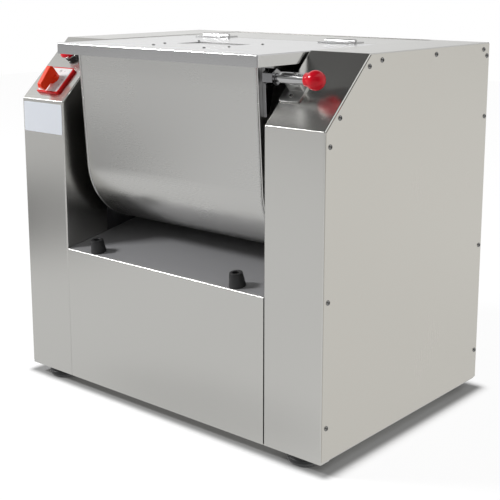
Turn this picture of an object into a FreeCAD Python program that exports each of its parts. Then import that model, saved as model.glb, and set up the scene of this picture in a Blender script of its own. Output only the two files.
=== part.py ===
import FreeCAD, Part
import Sketcher
import math
import os

# Dough mixer with a tilting trough, in millimetres.
# X runs from the left column to the right one, Y from the front to the rear, Z up from the floor.
# The origin lies on the floor, midway across the width and midway between the lid's front and the
# cable gland's rear end.

os.makedirs("parts", exist_ok=True)
DOC = FreeCAD.newDocument("dough_mixer")
SHEET = DOC.addObject("Spreadsheet::Sheet", "sizes")
PARTS = []
CUTS = []


class Size:
    """A length with the expression that keeps it tied to the sheet."""

    def __init__(self, text, value):
        self.text = text
        self.value = value

    def __add__(self, other):
        other = as_size(other)
        return Size(f"({self.text} + {other.text})", self.value + other.value)

    def __sub__(self, other):
        other = as_size(other)
        return Size(f"({self.text} - {other.text})", self.value - other.value)

    def __mul__(self, other):
        other = as_size(other)
        return Size(f"{self.text} * {other.text}", self.value * other.value)

    def __truediv__(self, other):
        other = as_size(other)
        return Size(f"{self.text} / ({other.text})", self.value / other.value)

    def __radd__(self, other):
        return as_size(other) + self

    def __rsub__(self, other):
        return as_size(other) - self

    def __rmul__(self, other):
        return as_size(other) * self

    def __neg__(self):
        return Size(f"(0 - {self.text})", -self.value)


def as_size(number):
    if isinstance(number, Size):
        return number
    return Size(f"({number})", float(number))


def root(size):
    return Size(f"sqrt({size.text})", math.sqrt(size.value))


def size(alias, value):
    """Puts a driving dimension in the sheet."""
    row = 1 + sum(1 for cell in SHEET.getUsedCells() if cell.startswith("A"))
    SHEET.set(f"A{row}", alias.replace("_", " "))
    SHEET.set(f"B{row}", str(value))
    SHEET.setAlias(f"B{row}", alias)
    return Size(f"sizes.{alias}", float(value))


# Housing
case_width = size("case_width", 740)
case_depth = size("case_depth", 508)
case_height = size("case_height", 659)
column_width = size("column_width", 122)
column_front_height = size("column_front_height", 546)
slope_run = size("slope_run", 118)
foot_height = size("foot_height", 20)
foot_radius = size("foot_radius", 28)
foot_side_inset = size("foot_side_inset", 60)
foot_end_inset = size("foot_end_inset", 32)
foot_tread_height = size("foot_tread_height", 5)
foot_tread_taper = size("foot_tread_taper", 3)
sheet = size("sheet_thickness", 1.5)
bend_radius = size("bend_radius", 2.5)
flange_width = size("flange_width", 24)
inner_return = size("inner_return_depth", 104)
cover_sheet = size("cover_thickness", 1.5)
cover_inset = size("cover_inset", 2)
cover_foot_gap = size("cover_foot_gap", 4)
seam_gap = size("seam_gap", 1)
rail_width = size("rail_width", 80)
rail_height = size("rail_height", 30)
rail_inset = size("rail_inset", 6)
plate_thickness = size("side_plate_thickness", 8)
plate_front = size("side_plate_front", 70)
plate_rear_gap = size("side_plate_rear_gap", 42)
plate_slope_gap = size("side_plate_slope_gap", 13.5)

# Shelf and front panel
shelf_gap = size("shelf_gap_below_trough", 17.4)
shelf_depth = size("shelf_depth", 372)
shelf_rise = size("shelf_rise", 65.6)

# Screws
screw_margin = size("screw_margin", 12)
screw_rear_margin = size("screw_rear_margin", 9)
cover_screw_low = size("cover_screw_low", 61)
cover_screw_drop = size("cover_screw_drop", 24)
rear_screw_margin = size("rear_screw_margin", 40)
screw_head_radius = size("screw_head_radius", 4)
screw_head_height = size("screw_head_height", 2.2)
screw_radius = size("screw_radius", 2)
screw_length = size("screw_length", 7)
screw_hole_radius = size("screw_hole_radius", 2.2)

# Trough
trough_axis_depth = size("trough_axis_depth", 162)
trough_axis_drop = size("trough_axis_below_rim", 203)
trough_radius = size("trough_radius", 130)
trough_rim_drop = size("trough_rim_below_lid", 19)
trough_mouth = size("trough_mouth_half_depth", 144)
trough_side_gap = size("trough_side_gap", 29)
trough_sheet = size("trough_sheet", 2)
trough_end_thickness = size("trough_end_thickness", 4)
rim_lip = size("rim_lip_width", 8)
rim_lip_thickness = size("rim_lip_thickness", 2)
hub_radius = size("hub_radius", 44)
hub_flange_radius = size("hub_flange_radius", 60)
hub_flange_thickness = size("hub_flange_thickness", 6)
hub_length = size("hub_length", 25)
sleeve_radius = size("trunnion_sleeve_radius", 30)
sleeve_bore = size("trunnion_sleeve_bore", 22)
sleeve_flange_radius = size("trunnion_flange_radius", 50)
sleeve_flange_thickness = size("trunnion_flange_thickness", 10)
running_gap = size("running_clearance", 0.05)
end_gap = size("end_clearance", 3)
seat_gap = size("seat_clearance", 0.3)

# Agitator
shaft_radius = size("shaft_radius", 17.5)
shaft_end_reach = size("shaft_reach_past_gear", 12)
seal_radius = size("seal_radius", 30)
seal_thickness = size("seal_thickness", 8)
shaft_hole_gap = size("shaft_hole_clearance", 1)
arm_reach = size("arm_reach", 104)
arm_width = size("arm_width", 26)
arm_thickness = size("arm_thickness", 12)
arm_end_gap = size("arm_end_gap", 59)
arm_hub_radius = size("arm_hub_radius", 27)
bar_radius = size("bar_radius", 8)
bar_twist = size("bar_twist_degrees", 70)

# Drive
gear_module = size("gear_module", 3)
gear_teeth = size("gear_teeth", 70)
pinion_teeth = size("pinion_teeth", 14)
gear_gap = size("gear_gap_from_sleeve", 18.5)
gear_width = size("gear_width", 24)
gear_web = size("gear_web_thickness", 10)
gear_hub_radius = size("gear_hub_radius", 32)
tooth_play = size("tooth_play", 1.4)
tooth_addendum = size("tooth_addendum_ratio", 0.9)
tooth_dedendum = size("tooth_dedendum_ratio", 1.25)
gear_flank = size("gear_flank_degrees", 20)
pinion_flank = size("pinion_flank_degrees", 26)
gear_centre_play = size("gear_centre_play", 0.3)
lay_radius = size("layshaft_radius", 10)
lay_angle = size("layshaft_angle_degrees", 45)
lay_bearing_radius = size("layshaft_bearing_radius", 26)
lay_bearing_length = size("layshaft_bearing_length", 14)
lay_bearing_gap = size("layshaft_bearing_gap", 3)
bracket_margin = size("bracket_margin", 10)
bracket_thickness = size("bracket_thickness", 6)
pulley_gap = size("pulley_gap_from_gear", 24)
pulley_width = size("pulley_width", 18)
pulley_lip = size("pulley_lip", 4)
pulley_lip_width = size("pulley_lip_width", 2.5)
lay_pulley_radius = size("layshaft_pulley_radius", 63)
motor_pulley_radius = size("motor_pulley_radius", 21)
belt_height = size("belt_height", 6)
motor_depth = size("motor_depth", 330)
motor_height = size("motor_height", 118)
motor_radius = size("motor_radius", 70)
motor_plate_gap = size("motor_gap_from_plate", 39.5)
motor_length = size("motor_length", 250)
motor_nose_length = size("motor_nose_length", 16)
motor_nose_radius = size("motor_nose_radius", 56)
motor_nose_tip = size("motor_nose_tip_radius", 31.5)
motor_shaft_seat = size("motor_shaft_seat", 60)
motor_shaft_radius = size("motor_shaft_radius", 9)
motor_foot_thickness = size("motor_foot_thickness", 8)
motor_foot_half = size("motor_foot_half_width", 56)
motor_neck_half = size("motor_neck_half_width", 31.5)
motor_box_rise = size("motor_box_rise", 65.8)
motor_box_side = size("motor_box_side", 70)
motor_box_height = size("motor_box_height", 34)

# Lid and hinges
lid_overhang = size("lid_overhang", 12)
lid_side_gap = size("lid_side_gap", 4)
lid_flange = size("lid_flange_depth", 20)
lid_drop = size("lid_drop", 1)
lid_depth = size("lid_rear_edge", 332)
hinge_radius = size("hinge_knuckle_radius", 3.5)
hinge_pin_radius = size("hinge_pin_radius", 1.6)
hinge_width = size("hinge_width", 69)
hinge_leaf = size("hinge_leaf_depth", 26)
hinge_leaf_thickness = size("hinge_leaf_thickness", 2)
hinge_inset = size("hinge_inset_from_column", 92)
window_width = size("window_width", 128)
window_depth = size("window_depth", 62)
window_front = size("window_front", 121)
window_plate_margin = size("window_plate_margin", 30)
lid_screw_inset = size("lid_screw_inset", 2)
rear_plate_gap = size("rear_plate_gap", 2)

# Tilt stops
bumper_base_radius = size("bumper_base_radius", 15)
bumper_top_radius = size("bumper_top_radius", 11.5)
bumper_height = size("bumper_height", 25)
bumper_setback = size("bumper_setback", 17)
bumper_inset = size("bumper_inset_from_column", 72)
bumper_recess_radius = size("bumper_recess_radius", 6)
bumper_recess_depth = size("bumper_recess_depth", 5)

# Latch, measured on the right column's slope
latch_along = size("latch_along_slope", 75)
latch_above = size("latch_above_slope", 30.5)
latch_plate_width = size("latch_plate_width", 42)
latch_plate_front = size("latch_plate_front", 50)
latch_plate_length = size("latch_plate_length", 54)
latch_plate_thickness = size("latch_plate_thickness", 3)
latch_corner = size("latch_corner_radius", 5)
latch_web_inset = size("latch_web_inset", 10)
latch_web_thickness = size("latch_web_thickness", 4)
latch_screw_front = size("latch_screw_front", 12)
latch_screw_rear = size("latch_screw_rear", 8)
latch_sleeve_start = size("latch_sleeve_start", 10)
latch_sleeve_length = size("latch_sleeve_length", 50)
latch_sleeve_radius = size("latch_sleeve_radius", 10)
latch_rod_radius = size("latch_rod_radius", 6.3)
latch_slot_width = size("latch_slot_width", 6)
latch_slot_start = size("latch_slot_start", 7)
latch_slot_length = size("latch_slot_length", 38)
latch_pin_radius = size("latch_pin_radius", 2)
latch_pin_place = size("latch_pin_place", 43)
latch_pin_height = size("latch_pin_height", 15)
latch_ball_place = size("latch_ball_place", 78)
latch_ball_radius = size("latch_ball_radius", 14.2)
latch_skirt_radius = size("latch_skirt_radius", 11.6)
latch_skirt_length = size("latch_skirt_length", 11)
latch_skirt_reach = size("latch_skirt_reach", 5)
latch_skirt_hollow = size("latch_skirt_hollow", 8.5)
latch_rod_seat = size("latch_rod_seat", 5)
bush_circumradius = size("bush_circumradius", 14.4)
bush_wall_gap = size("bush_wall_gap", 1)
ear_width = size("ear_width", 24)
ear_length = size("ear_length", 86)
ear_thickness = size("ear_thickness", 7)
ear_inset = size("ear_inset", 9)

# Switch and push button, measured on the left column's slope
switch_across = size("switch_from_outer_side", 66)
switch_along = size("switch_along_slope", 47)
switch_side = size("switch_plate_side", 64)
switch_plate_thickness = size("switch_plate_thickness", 6)
switch_corner = size("switch_plate_corner", 6)
switch_face_side = size("switch_face_side", 57.6)
switch_face_thickness = size("switch_face_thickness", 0.8)
switch_body_side = size("switch_body_side", 46)
switch_body_depth = size("switch_body_depth", 52)
knob_neck_radius = size("knob_neck_radius", 10)
knob_reach = size("knob_reach", 36)
knob_tail = size("knob_tail", 12)
knob_foot_height = size("knob_foot_height", 6.5)
knob_foot_reach = size("knob_foot_reach", 17)
knob_tip_height = size("knob_tip_height", 21)
knob_height = size("knob_height", 29)
knob_chamfer = size("knob_chamfer", 4)
knob_width = size("knob_width", 13)
knob_rounding = size("knob_rounding", 2.5)
knob_shaft_radius = size("knob_shaft_radius", 4)
knob_shaft_depth = size("knob_shaft_depth", 15)
knob_shaft_space = size("knob_shaft_space", 4)
button_across = size("button_from_outer_side", 62)
button_along = size("button_along_slope", 113)
button_collar_radius = size("button_collar_radius", 15)
button_collar_height = size("button_collar_height", 7)
button_bezel_radius = size("button_bezel_radius", 13.5)
button_bezel_height = size("button_bezel_height", 4)
button_cap_radius = size("button_cap_radius", 19)
button_cap_low = size("button_cap_low", 16)
button_cap_rim = size("button_cap_rim", 4)
button_dome_height = size("button_dome_height", 6)
button_block_side = size("button_block_side", 26)
button_block_depth = size("button_block_depth", 40)
button_stem_radius = size("button_stem_radius", 9)
button_stem_depth = size("button_stem_depth", 6)

# Cable gland and vents
gland_reach = size("gland_reach", 22)
gland_radius = size("gland_radius", 10)
gland_bore = size("gland_bore", 4.5)
gland_hex = size("gland_hex_circumradius", 14)
gland_hex_height = size("gland_hex_height", 6)
gland_from_side = size("gland_from_side", 75)
gland_height = size("gland_height", 95)
vent_width = size("vent_width", 60)
vent_height = size("vent_height", 5)
vent_pitch = size("vent_pitch", 14)
vent_count = 6
vent_low = size("vent_low", 150)
control_box_width = size("control_box_width", 60)
control_box_depth = size("control_box_depth", 90)
control_box_height = size("control_box_height", 130)
control_box_low = size("control_box_low", 200)
control_box_setback = size("control_box_setback", 60)

DOC.recompute()

# Places that several pieces share
slope_rise = case_height - column_front_height
slope_length = root(slope_run * slope_run + slope_rise * slope_rise)
front = -(case_depth + gland_reach - lid_overhang) / 2
rear = front + case_depth
floor_z = foot_height
top = foot_height + case_height
side = case_width / 2
shell_side = side - cover_sheet
inner_wall = side - column_width
slope_foot = floor_z + column_front_height
lid_top = top - lid_drop
rim_z = lid_top - trough_rim_drop
axis_y = front + trough_axis_depth
axis_z = rim_z - trough_axis_drop
trough_half_length = inner_wall - trough_side_gap
shelf_foot = axis_z - trough_radius - shelf_gap - trough_axis_depth * shelf_rise / shelf_depth
plate_inner = inner_wall + sheet
plate_outer = plate_inner + plate_thickness
frame_top = floor_z + sheet + rail_height
plate_top = slope_foot + plate_front * slope_rise / slope_run - plate_slope_gap
gear_start = plate_outer + sleeve_flange_thickness + gear_gap
gear_end = gear_start + gear_width
pulley_start = gear_end + pulley_gap
motor_end = plate_inner - motor_plate_gap
motor_start = motor_end - motor_length
motor_y = front + motor_depth
motor_z = floor_z + motor_height
arm_spread = trough_half_length - arm_end_gap
bumper_spacing = inner_wall - bumper_inset
hinge_y = front + lid_depth + rear_plate_gap / 2
hinge_spacing = inner_wall - hinge_inset
switch_x = -(side - switch_across)
button_x = -(side - button_across)
gland_x = -(side - gland_from_side)
gland_z = floor_z + gland_height

# Shares of the slope's and of the top's length where cover screws sit
SLOPE_SCREW_SHARES = (0.24, 0.9)
TOP_SCREW_SHARES = (0.295, 0.626, 0.957)
REAR_SCREW_ROWS = 4

AXES = {
    "X": FreeCAD.Rotation(FreeCAD.Vector(0, 1, 0), 90),
    "Y": FreeCAD.Rotation(FreeCAD.Vector(1, 0, 0), -90),
    "Z": FreeCAD.Rotation(),
}


def bind(item, name, value):
    item.setExpression(name, as_size(value).text)


def seat(item, point):
    for letter, value in zip("xyz", point):
        bind(item, f"Placement.Base.{letter}", value)
    return item


def block(name, low, extent):
    """A box from its lowest corner and its extent."""
    item = DOC.addObject("Part::Box", name)
    for prop, value in zip(("Length", "Width", "Height"), extent):
        bind(item, prop, value)
    return seat(item, low)


def rod(name, start, radius, length, axis="Z"):
    """A cylinder from the centre of its lower end."""
    item = DOC.addObject("Part::Cylinder", name)
    item.Placement.Rotation = AXES[axis]
    bind(item, "Radius", radius)
    bind(item, "Height", length)
    return seat(item, start)


def taper(name, start, first, last, length, axis="Z"):
    """A cone's frustum from the centre of its lower end."""
    item = DOC.addObject("Part::Cone", name)
    item.Placement.Rotation = AXES[axis]
    bind(item, "Radius1", first)
    bind(item, "Radius2", last)
    bind(item, "Height", length)
    return seat(item, start)


def ball(name, centre, radius):
    item = DOC.addObject("Part::Sphere", name)
    bind(item, "Radius", radius)
    return seat(item, centre)


def hexagon(name, start, circumradius, length, axis="X"):
    item = DOC.addObject("Part::Prism", name)
    item.Polygon = 6
    item.Placement.Rotation = AXES[axis]
    bind(item, "Circumradius", circumradius)
    bind(item, "Height", length)
    return seat(item, start)


def fuse(name, *items):
    item = DOC.addObject("Part::MultiFuse", name)
    item.Shapes = list(items)
    return item


def group(name, items):
    item = DOC.addObject("Part::Compound", name)
    item.Links = list(items)
    return item


def cut(name, base, *tools):
    item = DOC.addObject("Part::Cut", name)
    item.Base = base
    item.Tool = tools[0] if len(tools) == 1 else group(name + "_tools", tools)
    CUTS.append((item, base))
    return item


def ring(name, start, outer, inner, length, axis="Z"):
    """A tube: its bore runs past both ends."""
    past = 1
    offset = [past if letter == axis else 0 for letter in "XYZ"]
    low = [as_size(value) - shift for value, shift in zip(start, offset)]
    return cut(
        name,
        rod(name + "_outside", start, outer, length, axis),
        rod(name + "_bore", low, inner, as_size(length) + 2 * past, axis),
    )


def on_slope(item):
    """Seats a piece drawn flat on a column's slope: X across, Y up the slope, Z off it."""
    item.Placement.Rotation = FreeCAD.Rotation(FreeCAD.Vector(1, 0, 0), 1)
    item.setExpression("Placement.Rotation.Angle", f"atan({slope_rise.text} / {slope_run.text})")
    return seat(item, (0, front, slope_foot))


def on_shelf(item):
    """Seats a piece drawn flat on the sloping shelf."""
    item.Placement.Rotation = FreeCAD.Rotation(FreeCAD.Vector(1, 0, 0), 1)
    item.setExpression("Placement.Rotation.Angle", f"atan({shelf_rise.text} / {shelf_depth.text})")
    return seat(item, (0, front, shelf_foot))


def keep(node, item):
    """Names a finished piece."""
    item.Label = node
    PARTS.append(item)
    return item


def new_body(name):
    return DOC.addObject("PartDesign::Body", name)


def sketch_on(body, role, name, start=0):
    """A sketch on one of the body's own origin planes, moved along its normal."""
    plane = next(item for item in body.Origin.OriginFeatures if item.Role == role)
    sketch = body.newObject("Sketcher::SketchObject", name)
    sketch.AttachmentSupport = [(plane, "")]
    sketch.MapMode = "FlatFace"
    sketch.setExpression("AttachmentOffset.Base.z", as_size(start).text)
    return sketch


def fix_point(sketch, edge, end, point):
    for kind, value in zip(("DistanceX", "DistanceY"), point):
        value = as_size(value)
        index = sketch.addConstraint(Sketcher.Constraint(kind, edge, end, value.value))
        sketch.setExpression(f"Constraints[{index}]", value.text)


def polygon(sketch, points):
    """A closed outline whose corners are all dimensioned."""
    spots = [FreeCAD.Vector(as_size(u).value, as_size(v).value, 0) for u, v in points]
    count = len(spots)
    for i in range(count):
        sketch.addGeometry(Part.LineSegment(spots[i], spots[(i + 1) % count]), False)
    for i in range(count):
        sketch.addConstraint(Sketcher.Constraint("Coincident", i, 2, (i + 1) % count, 1))
    for i, point in enumerate(points):
        fix_point(sketch, i, 1, point)
    return sketch


def pad(body, sketch, length):
    feature = body.newObject("PartDesign::Pad", sketch.Name + "_pad")
    feature.Profile = sketch
    bind(feature, "Length", length)
    return feature


def pocket(body, sketch, length):
    """Cuts along the sketch's own normal."""
    base = body.Tip
    feature = body.newObject("PartDesign::Pocket", sketch.Name + "_pocket")
    feature.Profile = sketch
    feature.Reversed = True
    bind(feature, "Length", length)
    CUTS.append((feature, base))
    return feature


def round_edges(body, radius, chosen):
    """Rounds the tip's edges that the test picks."""
    DOC.recompute()
    base = body.Tip
    names = [f"Edge{i + 1}" for i, edge in enumerate(base.Shape.Edges) if chosen(edge)]
    feature = body.newObject("PartDesign::Fillet", body.Name + "_fillet")
    feature.Base = (base, names)
    bind(feature, "Radius", radius)
    return feature


def along(edge, letter):
    """True for a straight edge along the named axis."""
    tangent = edge.tangentAt(edge.FirstParameter)
    return edge.Curve.TypeId == "Part::GeomLine" and abs(getattr(tangent, letter)) > 0.999


# Base: a bottom pan on four rubber feet, with box rails welded on it.

def build_base():
    width = 2 * (shell_side - sheet)
    extent = (width, case_depth - 2 * sheet, sheet)
    keep("base_pan", block("pan", (-width / 2, front + sheet, floor_z), extent))
    low = floor_z + sheet
    outer = shell_side - sheet
    start = front + rail_inset
    depth = case_depth - 2 * rail_inset
    middle = outer - rail_width
    cross = rail_height
    rails = [
        block("rail_left", (-outer, start, low), (rail_width, depth, rail_height)),
        block("rail_right", (middle, start, low), (rail_width, depth, rail_height)),
        block("rail_front", (-middle, start, low), (2 * middle, cross, rail_height)),
        block("rail_rear", (-middle, start + depth - cross, low), (2 * middle, cross, rail_height)),
    ]
    for i in range(2):
        place = motor_start + motor_length * (1 + 2 * i) / 4 - cross / 2
        extent = (cross, depth - 2 * cross, rail_height)
        rails.append(block(f"rail_motor_{i}", (place, start + cross, low), extent))
    keep("base_frame", group("rails", rails))


def build_feet():
    feet = []
    tread = foot_tread_height
    for i, sx in enumerate((-1, 1)):
        for j, y in enumerate((front + foot_end_inset, rear - foot_end_inset)):
            x = sx * (side - foot_side_inset)
            name = f"foot_{i}{j}"
            feet.append(fuse(
                name,
                taper(name + "_tread", (x, y, 0), foot_radius - foot_tread_taper, foot_radius, tread),
                rod(name + "_block", (x, y, tread), foot_radius, foot_height - tread),
            ))
    keep("rubber_feet", group("feet", feet))


# Columns: front, slope and top are one bent sheet with returns on both sides.

def case_profile(inset, past_rear=0, past_floor=0, rear_inset=sheet):
    """The column's outline seen from the side, moved inwards by the inset."""
    inset = as_size(inset)
    lean = slope_length - slope_rise
    top_lean = slope_length - slope_run
    return [
        (front + inset, floor_z - past_floor),
        (front + inset, slope_foot - inset * lean / slope_run),
        (front + slope_run + inset * top_lean / slope_rise, top - inset),
        (rear - rear_inset + past_rear, top - inset),
        (rear - rear_inset + past_rear, floor_z - past_floor),
    ]


def cover_screw_places():
    """Depth and height of each side cover screw, from the cover's edges."""
    low = floor_z + cover_screw_low
    middle = floor_z + column_front_height / 2
    high = slope_foot - cover_screw_drop
    face = front + screw_margin
    back = rear - screw_rear_margin
    places = [(face, low), (face, middle), (face, high)]
    for share in SLOPE_SCREW_SHARES:
        y = front + slope_run * share + screw_margin * slope_rise / slope_length
        z = slope_foot + slope_rise * share - screw_margin * slope_run / slope_length
        places.append((y, z))
    for share in TOP_SCREW_SHARES:
        places.append((front + case_depth * share, top - screw_margin))
    places += [(back, top - cover_screw_drop), (back, high), (back, middle), (back, low)]
    return places


def cover_holes(name, sign):
    inward = screw_length - screw_head_height
    start = side - inward if sign > 0 else -side - 1
    return [
        rod(f"{name}_{i}", (start, y, z), screw_hole_radius, inward + 1, "X")
        for i, (y, z) in enumerate(cover_screw_places())
    ]


def build_column(word, sign):
    body = new_body(f"{word}_shell")
    start = inner_wall if sign > 0 else -shell_side
    width = shell_side - inner_wall
    outline = polygon(sketch_on(body, "YZ_Plane", f"{word}_outline", start), case_profile(0))
    pad(body, outline, width)
    back = (rear - sheet).value - 0.01
    bottom = floor_z.value + 0.01
    ridge = (front + slope_run).value + 0.01

    def is_bend(edge):
        box = edge.BoundBox
        if box.YMin > back or box.ZMax < bottom:
            return False
        return not along(edge, "x") or (box.YMin < ridge and box.ZMin > bottom)

    round_edges(body, bend_radius, is_bend)
    hollow = polygon(
        sketch_on(body, "YZ_Plane", f"{word}_hollow", start + sheet), case_profile(sheet, 5, 5)
    )
    pocket(body, hollow, width - 2 * sheet)
    window_start = start + width - sheet - 1 if sign > 0 else start - 1
    window = polygon(
        sketch_on(body, "YZ_Plane", f"{word}_window", window_start), case_profile(flange_width, 5, 5)
    )
    pocket(body, window, sheet + 2)
    back_start = start - 1 if sign > 0 else start + width - sheet - 1
    behind = [
        (front + sheet, floor_z - 5),
        (front + sheet, frame_top),
        (front + inner_return, frame_top),
        (front + inner_return, top - flange_width - lid_flange / 2),
        (rear + 5, top - flange_width - lid_flange / 2),
        (rear + 5, floor_z - 5),
    ]
    opened = polygon(sketch_on(body, "YZ_Plane", f"{word}_back", back_start), behind)
    pocket(body, opened, sheet + 2)
    holes = cover_holes(f"{word}_flange_hole", sign)
    tools = group(f"{word}_flange_holes", holes)
    drilled = slope_holes(word, sign)
    shell = cut(f"{word}_column_drilled", body, tools, drilled)
    keep(f"{word}_column_shell", shell)


def slope_holes(word, sign):
    """Openings in the slope for what is mounted on it."""
    through = 12
    if sign < 0:
        switch_hole = knob_shaft_radius + knob_shaft_space
        button_hole = button_stem_radius + seat_gap
        items = [
            rod("switch_hole", (switch_x, switch_along, -through), switch_hole, 2 * through),
            rod("button_hole", (button_x, button_along, -through), button_hole, 2 * through),
        ]
    else:
        items = [
            rod(f"latch_hole_{i}", (x, y, -through), screw_hole_radius, 2 * through)
            for i, (x, y) in enumerate(latch_screw_places())
        ]
    return on_slope(group(f"{word}_slope_holes", items))


def build_side_cover(word, sign):
    body = new_body(f"{word}_cover")
    points = case_profile(cover_inset, 0, 0, cover_inset / 2)
    points[0] = (points[0][0], floor_z + cover_foot_gap)
    points[-1] = (points[-1][0], floor_z + cover_foot_gap)
    start = shell_side if sign > 0 else -side
    outline = polygon(sketch_on(body, "YZ_Plane", f"{word}_cover_outline", start), points)
    pad(body, outline, cover_sheet)
    tools = group(f"{word}_cover_holes", cover_holes(f"{word}_cover_hole", sign))
    keep(f"{word}_side_cover", cut(f"{word}_cover_drilled", body, tools))


def cover_screws():
    items = []
    for sign in (-1, 1):
        for i, (y, z) in enumerate(cover_screw_places()):
            name = f"cover_screw_{'r' if sign > 0 else 'l'}{i}"
            inward = screw_length - screw_head_height
            if sign > 0:
                head = taper(name + "_head", (side, y, z), screw_head_radius, screw_head_radius * 0.75,
                             screw_head_height, "X")
                shank = rod(name + "_shank", (side - inward, y, z), screw_radius, inward, "X")
            else:
                head = taper(name + "_head", (-side - screw_head_height, y, z), screw_head_radius * 0.75,
                             screw_head_radius, screw_head_height, "X")
                shank = rod(name + "_shank", (-side, y, z), screw_radius, inward, "X")
            items.append(fuse(name, head, shank))
    return items


# Side plates carry the trunnions, the layshaft and the control box.

def lay_place():
    """Centre of the layshaft, on the gears' centre distance."""
    distance = gear_module * (gear_teeth + pinion_teeth) / 2 + gear_centre_play
    angle = f"({lay_angle.text} * 1 deg)"
    turned = math.radians(lay_angle.value)
    across = Size(f"cos{angle}", math.cos(turned))
    down = Size(f"sin{angle}", math.sin(turned))
    return axis_y + distance * across, axis_z - distance * down


def build_side_plate(word, sign):
    start = plate_inner if sign > 0 else -plate_outer
    base = block(
        f"{word}_plate_blank",
        (start, front + plate_front, frame_top),
        (plate_thickness, case_depth - plate_rear_gap - plate_front, plate_top - frame_top),
    )
    past = plate_thickness + 2
    hole = rod(f"{word}_trunnion_hole", (start - 1, axis_y, axis_z), sleeve_radius + running_gap, past, "X")
    tools = [hole]
    if sign > 0:
        lay_y, lay_z = lay_place()
        tools.append(rod("layshaft_hole", (start - 1, lay_y, lay_z), lay_radius + seat_gap, past, "X"))
        tools.append(rod("motor_hole", (start - 1, motor_y, motor_z), motor_shaft_radius * 2, past, "X"))
    keep(f"{word}_side_plate", cut(f"{word}_plate", base, *tools))


def build_trunnion(word, sign):
    tip = trough_half_length + end_gap
    flange = plate_outer
    end = flange + sleeve_flange_thickness
    if sign > 0:
        tube = rod(f"{word}_sleeve_tube", (tip, axis_y, axis_z), sleeve_radius, end - tip, "X")
        disc = rod(f"{word}_sleeve_flange", (flange, axis_y, axis_z), sleeve_flange_radius,
                   sleeve_flange_thickness, "X")
        bearing_start = end - 2 * sleeve_flange_thickness
    else:
        tube = rod(f"{word}_sleeve_tube", (-end, axis_y, axis_z), sleeve_radius, end - tip, "X")
        disc = rod(f"{word}_sleeve_flange", (-end, axis_y, axis_z), sleeve_flange_radius,
                   sleeve_flange_thickness, "X")
        bearing_start = -end
    bore = rod(f"{word}_sleeve_bore", (-end - 1 if sign < 0 else tip - 1, axis_y, axis_z), sleeve_bore,
               end - tip + 2, "X")
    sleeve = cut(f"{word}_sleeve", fuse(f"{word}_sleeve_blank", tube, disc), bore)
    bearing = ring(f"{word}_bearing_ring", (bearing_start, axis_y, axis_z), sleeve_bore - running_gap,
                   shaft_radius + running_gap, 2 * sleeve_flange_thickness, "X")
    return sleeve, bearing


# Front panel and shelf: one bent sheet between the columns.

def build_front_panel():
    body = new_body("front_sheet")
    reach = inner_wall - seam_gap
    high = shelf_foot
    sketch = polygon(sketch_on(body, "YZ_Plane", "front_panel_profile", -reach), [
        (front, floor_z),
        (front, high),
        (front + shelf_depth, high + shelf_rise),
        (front + shelf_depth, high + shelf_rise - sheet),
        (front + sheet, high - sheet),
        (front + sheet, floor_z),
    ])
    pad(body, sketch, 2 * reach)
    corner = (front.value, high.value)

    def is_bend(edge):
        box = edge.BoundBox
        return along(edge, "x") and math.dist((box.YMin, box.ZMin), corner) < 0.01

    round_edges(body, bend_radius, is_bend)
    holes = [rod(f"bumper_hole_{i}", (s * bumper_spacing, bumper_setback, -10), screw_hole_radius, 20)
             for i, s in enumerate((-1, 1))]
    keep("front_panel", cut("front_panel_drilled", body, on_shelf(group("bumper_holes", holes))))
    back_low = high + shelf_rise
    keep("well_back_panel", block("well_back", (-reach, front + shelf_depth, back_low - sheet),
                                  (2 * reach, sheet, lid_top - back_low)))


def build_bumpers():
    cones = []
    fixings = []
    for i, s in enumerate((-1, 1)):
        x = s * bumper_spacing
        y = bumper_setback
        cone = taper(f"bumper_cone_{i}", (x, y, 0), bumper_base_radius, bumper_top_radius, bumper_height)
        recess = rod(f"bumper_recess_{i}", (x, y, bumper_height - bumper_recess_depth), bumper_recess_radius,
                     bumper_recess_depth + 1)
        bore = rod(f"bumper_bore_{i}", (x, y, -1), screw_hole_radius, bumper_height)
        cones.append(cut(f"bumper_{i}", cone, recess, bore))
        seat_z = bumper_height - bumper_recess_depth
        fixings.append(fuse(
            f"bumper_screw_{i}",
            taper(f"bumper_screw_head_{i}", (x, y, seat_z), screw_head_radius, screw_head_radius * 0.75,
                  screw_head_height),
            rod(f"bumper_screw_shank_{i}", (x, y, -sheet * 4), screw_radius, seat_z + sheet * 4),
        ))
    keep("tilt_bumpers", on_shelf(group("bumpers", cones)))
    keep("bumper_screws", on_shelf(group("bumper_fixings", fixings)))


# Rear: a folded back sheet with vents, and the fixed strip of the top.

def rear_screw_places():
    reach = shell_side - flange_width / 2
    low = floor_z + rear_screw_margin
    step = (case_height - 2 * rear_screw_margin) / (REAR_SCREW_ROWS - 1)
    places = []
    for s in (-1, 1):
        for i in range(REAR_SCREW_ROWS):
            places.append((s * reach, low + step * i))
    return places


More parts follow.
